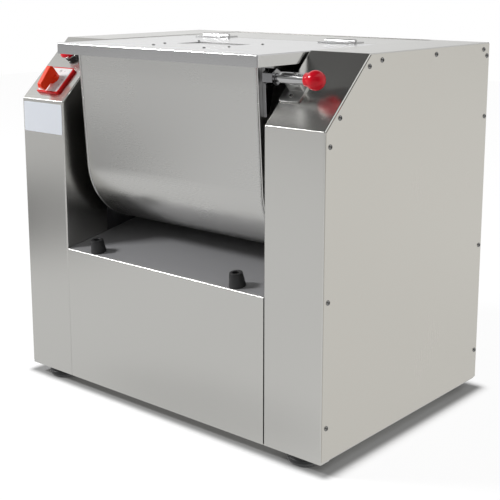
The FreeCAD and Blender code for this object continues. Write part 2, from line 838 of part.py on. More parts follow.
def build_rear_panel():
    low = floor_z + cover_foot_gap
    back = block("rear_sheet", (-shell_side, rear - sheet, low), (2 * shell_side, sheet, top - low))
    fold_top = top - flange_width - lid_drop
    depth = flange_width - sheet
    folds = [
        block(f"rear_fold_{i}", (x, rear - flange_width, low), (sheet, depth, fold_top - low))
        for i, x in enumerate((-shell_side, shell_side - sheet))
    ]
    vents = []
    for i, x in enumerate((-vent_width * 1.5, vent_width * 0.5)):
        for j in range(vent_count):
            vents.append(block(f"vent_{i}{j}", (x, rear - sheet - 1, floor_z + vent_low + vent_pitch * j),
                               (vent_width, sheet + 2, vent_height)))
    holes = [
        rod(f"rear_hole_{i}", (x, rear - 2 * sheet, z), screw_hole_radius, 4 * sheet, "Y")
        for i, (x, z) in enumerate(rear_screw_places())
    ]
    gland = rod("gland_hole", (gland_x, rear - 2 * sheet, gland_z), gland_radius, 4 * sheet, "Y")
    left, right = (group(f"rear_fold_holes_{word}", cover_holes(f"rear_fold_hole_{word}", s))
                   for word, s in (("left", -1), ("right", 1)))
    blank = fuse("rear_blank", back, *folds)
    keep("rear_panel", cut("rear_drilled", blank, group("rear_openings", vents + holes), gland, left, right))
    items = []
    for i, (x, z) in enumerate(rear_screw_places()):
        name = f"rear_screw_{i}"
        items.append(fuse(
            name,
            taper(name + "_head", (x, rear, z), screw_head_radius, screw_head_radius * 0.75,
                  screw_head_height, "Y"),
            rod(name + "_shank", (x, rear - sheet, z), screw_radius, sheet, "Y"),
        ))
    return items


def build_rear_top():
    body = new_body("rear_top")
    reach = inner_wall - seam_gap
    start = front + lid_depth + rear_plate_gap
    end = rear - sheet
    sketch = polygon(sketch_on(body, "YZ_Plane", "rear_top_profile", -reach), [
        (start, lid_top),
        (end, lid_top),
        (end, lid_top - sheet),
        (start + sheet, lid_top - sheet),
        (start + sheet, lid_top - lid_flange),
        (start, lid_top - lid_flange),
    ])
    pad(body, sketch, 2 * reach)
    keep("rear_top_plate", body)


def build_gland():
    hex_nut = hexagon("gland_nut", (gland_x, rear, gland_z), gland_hex, gland_hex_height, "Y")
    dome = taper("gland_dome", (gland_x, rear, gland_z), gland_radius, gland_radius * 0.7, gland_reach, "Y")
    thread = rod("gland_thread", (gland_x, rear - 10, gland_z), gland_radius - seat_gap, 10, "Y")
    bore = rod("gland_bore_tool", (gland_x, rear - 11, gland_z), gland_bore, gland_reach + 12, "Y")
    keep("cable_gland", cut("gland", fuse("gland_blank", hex_nut, dome, thread), bore))


# Trough: a rolled sheet with two flat ends, on hubs that turn round the trunnion sleeves.

def trough_outline(sketch, inset):
    """A round bottom with straight walls that lean outwards to the mouth."""
    radius = trough_radius - inset
    half = trough_mouth - inset
    high = rim_z
    centre = FreeCAD.Vector(axis_y.value, axis_z.value, 0)
    reach = math.hypot(half.value, (high - axis_z).value)
    lean = math.atan2(half.value, (high - axis_z).value) - math.acos(radius.value / reach)
    lean = math.pi / 2 + lean
    touch = math.pi / 2 - lean
    spots = []
    for sign in (1, -1):
        spots.append(centre + FreeCAD.Vector(sign * radius.value * math.cos(touch),
                                             radius.value * math.sin(touch), 0))
    tops = [FreeCAD.Vector(axis_y.value + s * half.value, high.value, 0) for s in (1, -1)]
    sketch.addGeometry(Part.LineSegment(tops[0], spots[0]), False)
    bottom = centre + FreeCAD.Vector(0, -radius.value, 0)
    sketch.addGeometry(Part.Arc(spots[0], bottom, spots[1]), False)
    sketch.addGeometry(Part.LineSegment(spots[1], tops[1]), False)
    sketch.addGeometry(Part.LineSegment(tops[1], tops[0]), False)
    arc = 1
    first_end = 2 if sketch.getPoint(arc, 2).distanceToPoint(spots[0]) < 0.001 else 1
    last_end = 3 - first_end
    sketch.addConstraint(Sketcher.Constraint("Tangent", 0, 2, arc, first_end))
    sketch.addConstraint(Sketcher.Constraint("Tangent", 2, 1, arc, last_end))
    sketch.addConstraint(Sketcher.Constraint("Coincident", 2, 2, 3, 1))
    sketch.addConstraint(Sketcher.Constraint("Coincident", 3, 2, 0, 1))
    fix_point(sketch, arc, 3, (axis_y, axis_z))
    fix_point(sketch, 0, 1, (axis_y + half, high))
    fix_point(sketch, 2, 2, (axis_y - half, high))
    index = sketch.addConstraint(Sketcher.Constraint("Radius", arc, radius.value))
    sketch.setExpression(f"Constraints[{index}]", radius.text)
    return sketch


def build_trough():
    inner = trough_half_length - trough_end_thickness
    body = new_body("trough_sheet_body")
    outside = trough_outline(sketch_on(body, "YZ_Plane", "trough_outside", -inner), as_size(0))
    pad(body, outside, 2 * inner)
    inside = trough_outline(sketch_on(body, "YZ_Plane", "trough_inside", -inner - 1), trough_sheet)
    pocket(body, inside, 2 * inner + 2)
    keep("bowl_shell", body)
    ends = []
    hubs = []
    seals = []
    for word, sign in (("left", -1), ("right", 1)):
        end = new_body(f"{word}_trough_end")
        start = inner if sign > 0 else -trough_half_length
        outline = trough_outline(sketch_on(end, "YZ_Plane", f"{word}_end_outline", start), as_size(0))
        pad(end, outline, trough_end_thickness)
        hole = rod(f"{word}_end_hole", (start - 1, axis_y, axis_z), shaft_radius + shaft_hole_gap,
                   trough_end_thickness + 2, "X")
        ends.append(cut(f"{word}_end", end, hole))
        hub_start = trough_half_length if sign > 0 else -trough_half_length - hub_length
        flange_start = trough_half_length if sign > 0 else -trough_half_length - hub_flange_thickness
        boss = fuse(
            f"{word}_hub_blank",
            rod(f"{word}_hub_boss", (hub_start, axis_y, axis_z), hub_radius, hub_length, "X"),
            rod(f"{word}_hub_flange", (flange_start, axis_y, axis_z), hub_flange_radius,
                hub_flange_thickness, "X"),
        )
        bore = rod(f"{word}_hub_bore", (hub_start - 1, axis_y, axis_z), sleeve_radius + running_gap,
                   hub_length + 2, "X")
        hubs.append(cut(f"{word}_hub", boss, bore))
        seal_start = inner - seal_thickness if sign > 0 else -inner
        seals.append(ring(f"{word}_seal_ring", (seal_start, axis_y, axis_z), seal_radius,
                          shaft_radius + running_gap, seal_thickness, "X"))
    keep("bowl_ends", group("end_pair", ends))
    keep("bowl_hubs", group("hub_pair", hubs))
    keep("shaft_seals", group("seal_pair", seals))
    lip_x = trough_half_length + rim_lip
    lip_y = trough_mouth + rim_lip
    outer = block("rim_outside", (-lip_x, axis_y - lip_y, rim_z), (2 * lip_x, 2 * lip_y, rim_lip_thickness))
    mouth = trough_mouth - trough_sheet
    extent = (2 * inner, 2 * mouth, rim_lip_thickness + 2)
    opening = block("rim_opening", (-inner, axis_y - mouth, rim_z - 1), extent)
    keep("bowl_rim", cut("rim", outer, opening))


def latch_axis():
    """Depth and height of the latch's axis."""
    y = front + (latch_along * slope_run - latch_above * slope_rise) / slope_length
    z = slope_foot + (latch_along * slope_rise + latch_above * slope_run) / slope_length
    return y, z


def wall_depth(z):
    """Depth of the front wall's outer face at a height near the rim."""
    rise = rim_z - axis_z
    reach = root(trough_mouth * trough_mouth + rise * rise)
    tangent = root(reach * reach - trough_radius * trough_radius)
    cosine = (rise * tangent + trough_mouth * trough_radius) / (reach * reach)
    sine = (trough_mouth * tangent - rise * trough_radius) / (reach * reach)
    return axis_y - trough_mouth + (rim_z - z) * sine / cosine


def build_latch_bush():
    y, z = latch_axis()
    start = trough_half_length
    foot_z = rim_z - ear_length
    bend_z = rim_z - ear_length * 0.45
    body = new_body("ear")
    sketch = polygon(sketch_on(body, "YZ_Plane", "ear_outline", start), [
        (wall_depth(rim_z) + ear_inset, rim_z),
        (wall_depth(foot_z) + ear_inset, foot_z),
        (wall_depth(foot_z) + ear_inset + ear_width * 0.35, foot_z + ear_length * 0.12),
        (wall_depth(bend_z) + ear_inset + ear_width * 0.85, bend_z),
        (wall_depth(rim_z) + ear_inset + ear_width, rim_z),
    ])
    pad(body, sketch, ear_thickness)
    end = inner_wall - bush_wall_gap
    length = end - start - ear_thickness
    nut = hexagon("bush_nut", (start + ear_thickness, y, z), bush_circumradius, length, "X")
    bore = rod("bush_bore", (start + ear_thickness, y, z), latch_rod_radius + 2 * seat_gap, length + 1, "X")
    keep("latch_ear", body)
    keep("latch_bush", cut("bush", nut, bore))


# Agitator: a through shaft with three arms that carry two twisted kneading bars.

def build_agitator():
    reach = plate_outer + sleeve_flange_thickness
    shaft = rod("shaft_rod", (-reach, axis_y, axis_z), shaft_radius, reach + gear_end + shaft_end_reach, "X")
    keep("agitator_shaft", shaft)
    bars = []
    span = 2 * arm_spread
    for i in range(2):
        body = new_body(f"bar_{i}")
        angle = bar_twist / 2
        sketch = sketch_on(body, "XZ_Plane", f"bar_{i}_section")
        index = sketch.addGeometry(Part.Circle(FreeCAD.Vector(arm_reach.value, 0, 0),
                                               FreeCAD.Vector(0, 0, 1), bar_radius.value), False)
        fix_point(sketch, index, 3, (arm_reach, 0))
        tie = sketch.addConstraint(Sketcher.Constraint("Radius", index, bar_radius.value))
        sketch.setExpression(f"Constraints[{tie}]", bar_radius.text)
        coil = body.newObject("PartDesign::AdditiveHelix", f"bar_{i}_helix")
        coil.Profile = sketch
        coil.ReferenceAxis = (sketch, ["V_Axis"])
        coil.Mode = 0
        bind(coil, "Pitch", span * 360 / bar_twist)
        bind(coil, "Height", span)
        turn = FreeCAD.Rotation(FreeCAD.Vector(0, 1, 0), 90)
        spin = FreeCAD.Rotation(FreeCAD.Vector(1, 0, 0), 180 * i - bar_twist.value / 2)
        body.Placement.Rotation = spin.multiply(turn)
        seat(body, (-arm_spread, axis_y, axis_z))
        bars.append(body)
    bar_pair = keep("agitator_bars", group("bar_pair", bars))
    arms = []
    for i in range(3):
        x = arm_spread * (i - 1)
        tilt = bar_twist.value / 2 * (i - 1)
        arm = DOC.addObject("Part::Box", f"arm_{i}")
        bind(arm, "Length", arm_width)
        bind(arm, "Width", arm_thickness)
        bind(arm, "Height", 2 * arm_reach)
        turn = FreeCAD.Rotation(FreeCAD.Vector(1, 0, 0), tilt)
        shift = x - arm_width / 2
        low = turn.multVec(FreeCAD.Vector(0, -arm_thickness.value / 2, -arm_reach.value))
        cosine = Size(f"cos({bar_twist.text} * {i - 1} / 2 * 1 deg)", math.cos(math.radians(tilt)))
        sine = Size(f"sin({bar_twist.text} * {i - 1} / 2 * 1 deg)", math.sin(math.radians(tilt)))
        arm.Placement.Rotation = turn
        seat(arm, (
            shift,
            axis_y - arm_thickness / 2 * cosine + arm_reach * sine,
            axis_z - arm_thickness / 2 * sine - arm_reach * cosine,
        ))
        hub = rod(f"arm_hub_{i}", (shift, axis_y, axis_z), arm_hub_radius, arm_width, "X")
        arms.append(fuse(f"arm_with_hub_{i}", arm, hub))
    bore = rod("arm_bore", (-arm_spread - arm_width, axis_y, axis_z), shaft_radius + running_gap,
               2 * (arm_spread + arm_width), "X")
    keep("agitator_arms", cut("arms", group("arm_group", arms), bore, bar_pair))


# Drive: a foot-mounted motor, a belt to the layshaft, and a gear pair to the agitator.

def gear_wheel(name, teeth, lean, bore, spin=0):
    """A spur wheel with straight-flanked teeth, thinned by the play."""
    count = int(round(teeth.value))
    width = gear_width.value
    pitch = gear_module.value * count / 2
    tip = pitch + tooth_addendum.value * gear_module.value
    foot = pitch - tooth_dedendum.value * gear_module.value
    half = math.pi * gear_module.value / 4 - tooth_play.value / 2
    flank = math.tan(math.radians(lean.value))
    points = []
    for i in range(count):
        middle = 2 * math.pi * i / count + math.radians(spin)
        for radius, sign in ((foot, -1), (tip, -1), (tip, 1), (foot, 1)):
            thick = half - (radius - pitch) * flank
            turn = middle + sign * thick / radius
            points.append(FreeCAD.Vector(0, radius * math.cos(turn), radius * math.sin(turn)))
    outline = Part.makePolygon(points + [points[0]])
    wheel = Part.Face(outline).extrude(FreeCAD.Vector(width, 0, 0))
    hole = Part.makeCylinder(bore.value, width + 2, FreeCAD.Vector(-1, 0, 0), FreeCAD.Vector(1, 0, 0))
    item = DOC.addObject("Part::Feature", name)
    item.Shape = wheel.cut(hole)
    return item


def build_drive():
    lay_y, lay_z = lay_place()
    rim = gear_wheel("gear_rim", gear_teeth, gear_flank, shaft_radius + running_gap)
    seat(rim, (gear_start, axis_y, axis_z))
    pocket_depth = (gear_width - gear_web) / 2
    dish = gear_module * gear_teeth / 2 - 4 * gear_module
    tools = []
    for i, x in enumerate((gear_start - 1, gear_end - pocket_depth)):
        tools.append(ring(f"gear_dish_{i}", (x, axis_y, axis_z), dish, gear_hub_radius,
                          pocket_depth + 1, "X"))
    keep("drive_gear", cut("gear", rim, *tools))
    small = gear_wheel("pinion_rim", pinion_teeth, pinion_flank, lay_radius + running_gap, pinion_phase())
    keep("pinion", seat(small, (gear_start, lay_y, lay_z)))
    shaft_start = plate_inner + seat_gap
    end = pulley_start + pulley_width
    keep("layshaft", rod("layshaft_rod", (shaft_start, lay_y, lay_z), lay_radius, end - shaft_start, "X"))
    bearing_x = (plate_outer, pulley_start - lay_bearing_gap - lay_bearing_length)
    bearings = [
        ring(f"lay_bearing_{i}", (x, lay_y, lay_z), lay_bearing_radius, lay_radius + running_gap,
             lay_bearing_length, "X")
        for i, x in enumerate(bearing_x)
    ]
    keep("layshaft_bearings", group("lay_bearing_pair", bearings))
    build_bracket(lay_y, lay_z, bearing_x[1])
    keep("layshaft_pulley", pulley("lay_wheel", lay_y, lay_z, lay_pulley_radius, lay_radius + running_gap))
    keep("motor_pulley", pulley("motor_wheel", motor_y, motor_z, motor_pulley_radius,
                                motor_shaft_radius + running_gap))
    shaft_start = motor_end - motor_shaft_seat
    keep("motor_shaft", rod("motor_rotor", (shaft_start, motor_y, motor_z), motor_shaft_radius,
                            end - shaft_start, "X"))
    build_motor(motor_y, motor_z, motor_end)
    build_belt(lay_y, lay_z, motor_y, motor_z)


def pinion_phase():
    """Turn of the pinion that puts a gap of it on the gear's tooth."""
    line = -lay_angle.value
    step_big = 360 / gear_teeth.value
    step_small = 360 / pinion_teeth.value
    tooth = (line / step_big) % 1
    return (line + 180 + step_small / 2 + tooth * step_small) % step_small


def build_bracket(lay_y, lay_z, bearing_start):
    """A bent carrier, screwed to the side plate, for the outer bearing."""
    half = lay_bearing_radius + bracket_margin
    low = lay_z - half
    reach = bearing_start - plate_outer + lay_bearing_length
    arm = block("bracket_web", (plate_outer, lay_y - half, low - bracket_thickness),
                (reach, 2 * half, bracket_thickness))
    cheek = block("bracket_cheek", (bearing_start, lay_y - half, low),
                  (lay_bearing_length, 2 * half, 2 * half))
    hole = rod("bracket_hole", (bearing_start - 1, lay_y, lay_z), lay_bearing_radius + running_gap,
               lay_bearing_length + 2, "X")
    keep("layshaft_bracket", cut("bracket", fuse("bracket_blank", arm, cheek), hole))


def pulley(name, y, z, radius, bore):
    items = [rod(name + "_groove", (pulley_start, y, z), radius, pulley_width, "X")]
    for i, x in enumerate((pulley_start, pulley_start + pulley_width - pulley_lip_width)):
        items.append(rod(f"{name}_lip_{i}", (x, y, z), radius + pulley_lip, pulley_lip_width, "X"))
    hole = rod(name + "_bore", (pulley_start - 1, y, z), bore, pulley_width + 2, "X")
    return cut(name, fuse(name + "_blank", *items), hole)


def build_motor(y, z, end):
    barrel = rod("motor_barrel", (motor_start, y, z), motor_radius, motor_length, "X")
    nose = taper("motor_nose", (end - 1, y, z), motor_nose_radius, motor_nose_tip, motor_nose_length, "X")
    low_x = motor_start + motor_length / 8
    length = motor_length * 3 / 4
    feet = block("motor_feet", (low_x, y - motor_foot_half, frame_top),
                 (length, 2 * motor_foot_half, motor_foot_thickness))
    neck = block("motor_neck", (low_x, y - motor_neck_half, frame_top),
                 (length, 2 * motor_neck_half, z - frame_top))
    bore = rod("motor_bore", (end - motor_shaft_seat, y, z), motor_shaft_radius + running_gap,
               2 * motor_shaft_seat, "X")
    keep("motor_body", cut("motor", fuse("motor_blank", barrel, nose, feet, neck), bore))
    box = block("terminal_box", (motor_start + motor_length / 2, y - motor_box_side / 2, z + motor_box_rise),
                (motor_box_side, motor_box_side, motor_box_height))
    clear = rod("terminal_seat", (motor_start - 1, y, z), motor_radius + running_gap, motor_length + 2, "X")
    keep("motor_terminal_box", cut("terminal", box, clear))


def build_belt(y_a, z_a, y_b, z_b):
    """A closed loop round both pulleys, clear of them by the seat gap."""
    radius_a = (lay_pulley_radius + seat_gap).value
    radius_b = (motor_pulley_radius + seat_gap).value
    centre_a = FreeCAD.Vector(0, y_a.value, z_a.value)
    centre_b = FreeCAD.Vector(0, y_b.value, z_b.value)
    line = centre_b - centre_a
    distance = line.Length
    heading = math.atan2(line.z, line.y)
    lean = math.acos((radius_a - radius_b) / distance)

    def spot(centre, radius, angle):
        return centre + FreeCAD.Vector(0, radius * math.cos(angle), radius * math.sin(angle))

    def loop(extra):
        a = radius_a + extra
        b = radius_b + extra
        first = spot(centre_a, a, heading + lean)
        last = spot(centre_a, a, heading - lean)
        far_first = spot(centre_b, b, heading + lean)
        far_last = spot(centre_b, b, heading - lean)
        edges = [
            Part.LineSegment(first, far_first).toShape(),
            Part.Arc(far_first, spot(centre_b, b, heading), far_last).toShape(),
            Part.LineSegment(far_last, last).toShape(),
            Part.Arc(last, spot(centre_a, a, heading + math.pi), first).toShape(),
        ]
        return Part.Face(Part.Wire(edges))

    band = loop(belt_height.value).cut(loop(0))
    width = (pulley_width - 2 * pulley_lip_width - 2 * seat_gap).value
    item = DOC.addObject("Part::Feature", "belt")
    item.Shape = band.extrude(FreeCAD.Vector(width, 0, 0))
    seat(item, (pulley_start + pulley_lip_width + seat_gap, 0, 0))
    keep("drive_belt", item)


# Lid: a folded tray with a window that a plate closes from below, on two hinges.

def lid_screw_places():
    x = window_width / 2 + window_plate_margin / 2
    near = window_front - window_plate_margin / 2
    far = window_front + window_depth + window_plate_margin / 2
    inner = window_width / 2 - lid_screw_inset
    places = [(s * x, front + y) for s in (-1, 1) for y in (near, far)]
    return places + [(s * inner, front + window_front / 2) for s in (-1, 1)]


def build_lid():
    reach = inner_wall - lid_side_gap
    start = front - lid_overhang
    depth = lid_depth + lid_overhang
    low = lid_top - lid_flange
    body = new_body("lid_sheet")
    outer = body.newObject("PartDesign::AdditiveBox", "lid_outside")
    for prop, value in zip(("Length", "Width", "Height"), (2 * reach, depth, lid_flange)):
        bind(outer, prop, value)
    seat(outer, (-reach, start, low))

    def is_fold(edge):
        box = edge.BoundBox
        if along(edge, "x"):
            return box.YMax < start.value + 0.01 and box.ZMin > lid_top.value - 0.01
        if along(edge, "y"):
            return box.ZMin > lid_top.value - 0.01
        return along(edge, "z") and box.YMax < start.value + 0.01

    round_edges(body, bend_radius * 0.8, is_fold)
    inner = body.newObject("PartDesign::SubtractiveBox", "lid_inside")
    for prop, value in zip(("Length", "Width", "Height"), (2 * (reach - sheet), depth, lid_flange)):
        bind(inner, prop, value)
    seat(inner, (-reach + sheet, start + sheet, low - sheet))
    window = body.newObject("PartDesign::SubtractiveBox", "lid_window")
    for prop, value in zip(("Length", "Width", "Height"), (window_width, window_depth, lid_flange)):
        bind(window, prop, value)
    seat(window, (-window_width / 2, front + window_front, lid_top - lid_flange / 2))
    holes = [rod(f"lid_hole_{i}", (x, y, lid_top - 3 * sheet), screw_hole_radius, 5 * sheet)
             for i, (x, y) in enumerate(lid_screw_places())]
    keep("lid_panel", cut("lid", body, *holes))
    width = window_width + 2 * window_plate_margin
    plate_start = front + window_front / 2 - window_plate_margin / 2
    plate_end = front + window_front + window_depth + window_plate_margin
    plate = block("fill_plate", (-width / 2, plate_start, lid_top - 2 * sheet),
                  (width, plate_end - plate_start, sheet))
    holes = [rod(f"fill_hole_{i}", (x, y, lid_top - 3 * sheet), screw_hole_radius, 5 * sheet)
             for i, (x, y) in enumerate(lid_screw_places())]
    keep("lid_window_plate", cut("fill", plate, *holes))
    items = []
    for i, (x, y) in enumerate(lid_screw_places()):
        name = f"lid_screw_{i}"
        items.append(fuse(
            name,
            taper(name + "_head", (x, y, lid_top), screw_head_radius * 0.8, screw_head_radius * 0.5,
                  screw_head_height * 0.6),
            rod(name + "_shank", (x, y, lid_top - 2 * sheet), screw_radius, 2 * sheet),
        ))
    keep("lid_screws", group("lid_fixings", items))


def build_hinges():
    moving = []
    fixed = []
    pins = []
    line_y = hinge_y
    line_z = lid_top + hinge_radius
    third = hinge_width / 3
    gap = seat_gap
    for i, s in enumerate((-1, 1)):
        middle = s * hinge_spacing
        low = middle - hinge_width / 2
        leaf = block(f"hinge_lid_leaf_{i}", (low, line_y - hinge_leaf, lid_top),
                     (hinge_width, hinge_leaf - hinge_radius - gap, hinge_leaf_thickness))
        tongue = block(f"hinge_lid_tongue_{i}", (low + third + gap, line_y - hinge_radius - 2 * gap, lid_top),
                       (third - 2 * gap, hinge_radius + 2 * gap, hinge_leaf_thickness))
        knuckle = rod(f"hinge_lid_knuckle_{i}", (low + third + gap, line_y, line_z), hinge_radius,
                      third - 2 * gap, "X")
        bore = rod(f"hinge_lid_bore_{i}", (low, line_y, line_z), hinge_pin_radius + running_gap,
                   hinge_width, "X")
        moving.append(cut(f"hinge_lid_{i}", fuse(f"hinge_lid_blank_{i}", leaf, tongue, knuckle), bore))
        pieces = [block(f"hinge_rear_leaf_{i}", (low, line_y + hinge_radius + gap, lid_top),
                        (hinge_width, hinge_leaf - hinge_radius - gap, hinge_leaf_thickness))]
        for j, x in enumerate((low, low + 2 * third)):
            pieces.append(block(f"hinge_rear_tongue_{i}{j}", (x, line_y + 1, lid_top),
                                (third, hinge_radius + 2 * gap, hinge_leaf_thickness)))
            pieces.append(rod(f"hinge_rear_knuckle_{i}{j}", (x, line_y, line_z), hinge_radius, third, "X"))
        rear_bore = rod(f"hinge_rear_bore_{i}", (low - 1, line_y, line_z), hinge_pin_radius + running_gap,
                        hinge_width + 2, "X")
        fixed.append(cut(f"hinge_rear_{i}", fuse(f"hinge_rear_blank_{i}", *pieces), rear_bore))
        pins.append(rod(f"hinge_pin_{i}", (low - 1, line_y, line_z), hinge_pin_radius, hinge_width + 2, "X"))
    keep("lid_hinge_leaves", group("hinge_lid", moving))
    keep("rear_hinge_leaves", group("hinge_rear", fixed))
    keep("hinge_pins", group("hinge_rods", pins))


# Latch: a spring bolt on the right slope, with a ball knob.

def latch_screw_places():
    middle = inner_wall + latch_plate_width / 2
    ends = (latch_plate_front + latch_screw_front, latch_plate_front + latch_plate_length - latch_screw_rear)
    return [(middle, y) for y in ends]


def build_latch():
    body = new_body("latch_foot")
    foot = body.newObject("PartDesign::AdditiveBox", "latch_foot_plate")
    extent = (latch_plate_width, latch_plate_length, latch_plate_thickness)
    for prop, value in zip(("Length", "Width", "Height"), extent):
        bind(foot, prop, value)
    seat(foot, (inner_wall, latch_plate_front, 0))
    round_edges(body, latch_corner, lambda edge: along(edge, "z"))
    web_start = inner_wall + latch_web_inset
    sleeve_start = inner_wall + latch_sleeve_start
    web = block("latch_web", (web_start, latch_along - latch_web_thickness / 2, latch_plate_thickness),
                (latch_plate_width - 1.4 * latch_web_inset, latch_web_thickness,
                 latch_above - latch_plate_thickness))
    bed = rod("latch_bed", (sleeve_start - 1, latch_along, latch_above),
              latch_sleeve_radius + running_gap / 5, latch_sleeve_length + 2, "X")
    holes = [rod(f"latch_plate_hole_{i}", (x, y, -1), screw_hole_radius, latch_plate_thickness + 2)
             for i, (x, y) in enumerate(latch_screw_places())]
    keep("latch_bracket", on_slope(cut("latch_base", fuse("latch_base_blank", body, web), bed, *holes)))
    fixings = []
    for i, (x, y) in enumerate(latch_screw_places()):
        fixings.append(fuse(
            f"latch_screw_{i}",
            taper(f"latch_screw_head_{i}", (x, y, latch_plate_thickness), screw_head_radius * 1.1,
                  screw_head_radius * 0.8, screw_head_height),
            rod(f"latch_screw_shank_{i}", (x, y, -screw_length / 2), screw_radius,
                screw_length / 2 + latch_plate_thickness),
        ))
    keep("latch_screws", on_slope(group("latch_fixings", fixings)))
    tube = rod("latch_tube", (sleeve_start, latch_along, latch_above), latch_sleeve_radius,
               latch_sleeve_length, "X")
    bore = rod("latch_tube_bore", (sleeve_start - 1, latch_along, latch_above),
               latch_rod_radius + running_gap, latch_sleeve_length + 2, "X")
    slot_x = sleeve_start + latch_slot_start
    half = latch_slot_width / 2
    slot = [
        block("latch_slot", (slot_x, latch_along - half, latch_above),
              (latch_slot_length, latch_slot_width, latch_sleeve_radius + 1)),
        rod("latch_slot_first", (slot_x, latch_along, latch_above), half, latch_sleeve_radius + 1),
        rod("latch_slot_last", (slot_x + latch_slot_length, latch_along, latch_above), half,
            latch_sleeve_radius + 1),
    ]
    keep("latch_sleeve", on_slope(cut("latch_barrel", tube, bore, *slot)))
    nose = inner_wall - bush_wall_gap + seat_gap
    ball_x = inner_wall + latch_ball_place
    bolt = rod("latch_bolt", (nose, latch_along, latch_above), latch_rod_radius,
               ball_x - nose - latch_rod_seat, "X")
    pin = rod("latch_pin", (inner_wall + latch_pin_place, latch_along, latch_above), latch_pin_radius,
              latch_pin_height)
    keep("latch_plunger", on_slope(fuse("latch_bolt_and_pin", bolt, pin)))
    knob = ball("latch_ball", (ball_x, latch_along, latch_above), latch_ball_radius)
    skirt_x = ball_x - latch_ball_radius - latch_skirt_reach
    skirt = rod("latch_skirt", (skirt_x, latch_along, latch_above), latch_skirt_radius,
                latch_skirt_length, "X")
    hollow = rod("latch_skirt_hollow", (skirt_x - 1, latch_along, latch_above),
                 latch_sleeve_radius + seat_gap, latch_skirt_hollow + 1, "X")
    socket = rod("latch_socket", (skirt_x, latch_along, latch_above), latch_rod_radius + running_gap,
                 ball_x - skirt_x - latch_rod_seat + seat_gap, "X")
    blank = fuse("latch_ball_blank", knob, skirt)
    keep("latch_knob", on_slope(cut("latch_ball_knob", blank, hollow, socket)))


# Rotary switch and mushroom push button on the left slope.

def build_switch():
    body = new_body("switch_plate_body")
    plate = body.newObject("PartDesign::AdditiveBox", "switch_plate_block")
    for prop, value in zip(("Length", "Width", "Height"), (switch_side, switch_side, switch_plate_thickness)):
        bind(plate, prop, value)
    seat(plate, (switch_x - switch_side / 2, switch_along - switch_side / 2, 0))
    round_edges(body, switch_corner, lambda edge: along(edge, "z"))
    hole = rod("switch_plate_hole", (switch_x, switch_along, -1), knob_shaft_radius + seat_gap,
               switch_plate_thickness + 2)
    keep("switch_plate", on_slope(cut("switch_plate_cut", body, hole)))
    face = block("switch_face_block", (switch_x - switch_face_side / 2, switch_along - switch_face_side / 2,
                                       switch_plate_thickness),
                 (switch_face_side, switch_face_side, switch_face_thickness))
    hole = rod("switch_face_hole", (switch_x, switch_along, 0), knob_shaft_radius + seat_gap,
               switch_plate_thickness * 2)
    keep("switch_face", on_slope(cut("switch_face_cut", face, hole)))
    under = -sheet
    box = block("switch_box", (switch_x - switch_body_side / 2, switch_along - switch_body_side / 2,
                               under - switch_body_depth),
                (switch_body_side, switch_body_side, switch_body_depth))
    hole = rod("switch_box_hole", (switch_x, switch_along, under - knob_shaft_depth - seat_gap),
               knob_shaft_radius + seat_gap, 2 * knob_shaft_depth)
    keep("switch_body", on_slope(cut("switch_box_cut", box, hole)))
    base_z = switch_plate_thickness + switch_face_thickness + seat_gap
    neck = rod("knob_neck", (switch_x, switch_along, base_z), knob_neck_radius,
               knob_foot_height + knob_rounding)
    shaft = rod("knob_shaft", (switch_x, switch_along, under - knob_shaft_depth), knob_shaft_radius,
                base_z - under + knob_shaft_depth + 1)
    grip = new_body("knob_grip")
    sketch = polygon(sketch_on(grip, "YZ_Plane", "knob_profile", switch_x - knob_width / 2), [
        (switch_along + knob_tail - knob_chamfer / 2, base_z),
        (switch_along + knob_tail, base_z + knob_height - knob_chamfer),
        (switch_along + knob_tail - knob_chamfer, base_z + knob_height),
        (switch_along - knob_reach + knob_chamfer, base_z + knob_tip_height + knob_chamfer / 2),
        (switch_along - knob_reach, base_z + knob_tip_height - knob_chamfer),
        (switch_along - knob_reach + knob_chamfer / 2, base_z + knob_foot_height),
        (switch_along - knob_foot_reach, base_z + knob_foot_height),
        (switch_along - knob_neck_radius, base_z),
    ])
    pad(grip, sketch, knob_width)
    round_edges(grip, knob_rounding, lambda edge: edge.BoundBox.ZMax > (base_z + knob_foot_height + 1).value)
    keep("switch_knob", on_slope(fuse("knob", neck, shaft, grip)))


def build_button():
    x = button_x
    y = button_along
    bore = button_stem_radius + seat_gap
    collar = ring("collar", (x, y, 0), button_collar_radius, bore, button_collar_height)
    keep("button_collar", on_slope(collar))
    bezel = ring("bezel", (x, y, button_collar_height), button_bezel_radius, bore, button_bezel_height)
    keep("button_bezel", on_slope(bezel))
    rim = rod("cap_rim", (x, y, button_cap_low), button_cap_radius, button_cap_rim)
    crown = taper("cap_crown", (x, y, button_cap_low + button_cap_rim), button_cap_radius,
                  button_cap_radius - button_dome_height, button_dome_height)
    dome = DOC.addObject("Part::Fillet", "cap_dome")
    dome.Base = fuse("cap_blank", rim, crown)
    DOC.recompute()
    chosen = [i + 1 for i, edge in enumerate(dome.Base.Shape.Edges) if is_cap_edge(edge)]
    rounding = (button_dome_height / 2).value
    dome.Edges = [(i, rounding, rounding) for i in chosen]
    stem = rod("cap_stem", (x, y, -sheet - button_stem_depth), button_stem_radius,
               button_cap_low + sheet + button_stem_depth + 1)
    keep("button_cap", on_slope(fuse("cap_and_stem", dome, stem)))
    block_low = -sheet - button_block_depth
    holder = block("contact_block", (x - button_block_side / 2, y - button_block_side / 2, block_low),
                   (button_block_side, button_block_side, button_block_depth))
    well = rod("contact_well", (x, y, -sheet - 2 * button_stem_depth), bore, 2 * button_stem_depth + 1)
    keep("button_contact_block", on_slope(cut("contacts", holder, well)))


def is_cap_edge(edge):
    """True for the round edges above the cap's rim."""
    return edge.Curve.TypeId == "Part::GeomCircle" and edge.BoundBox.ZMin > (button_cap_low + 1).value


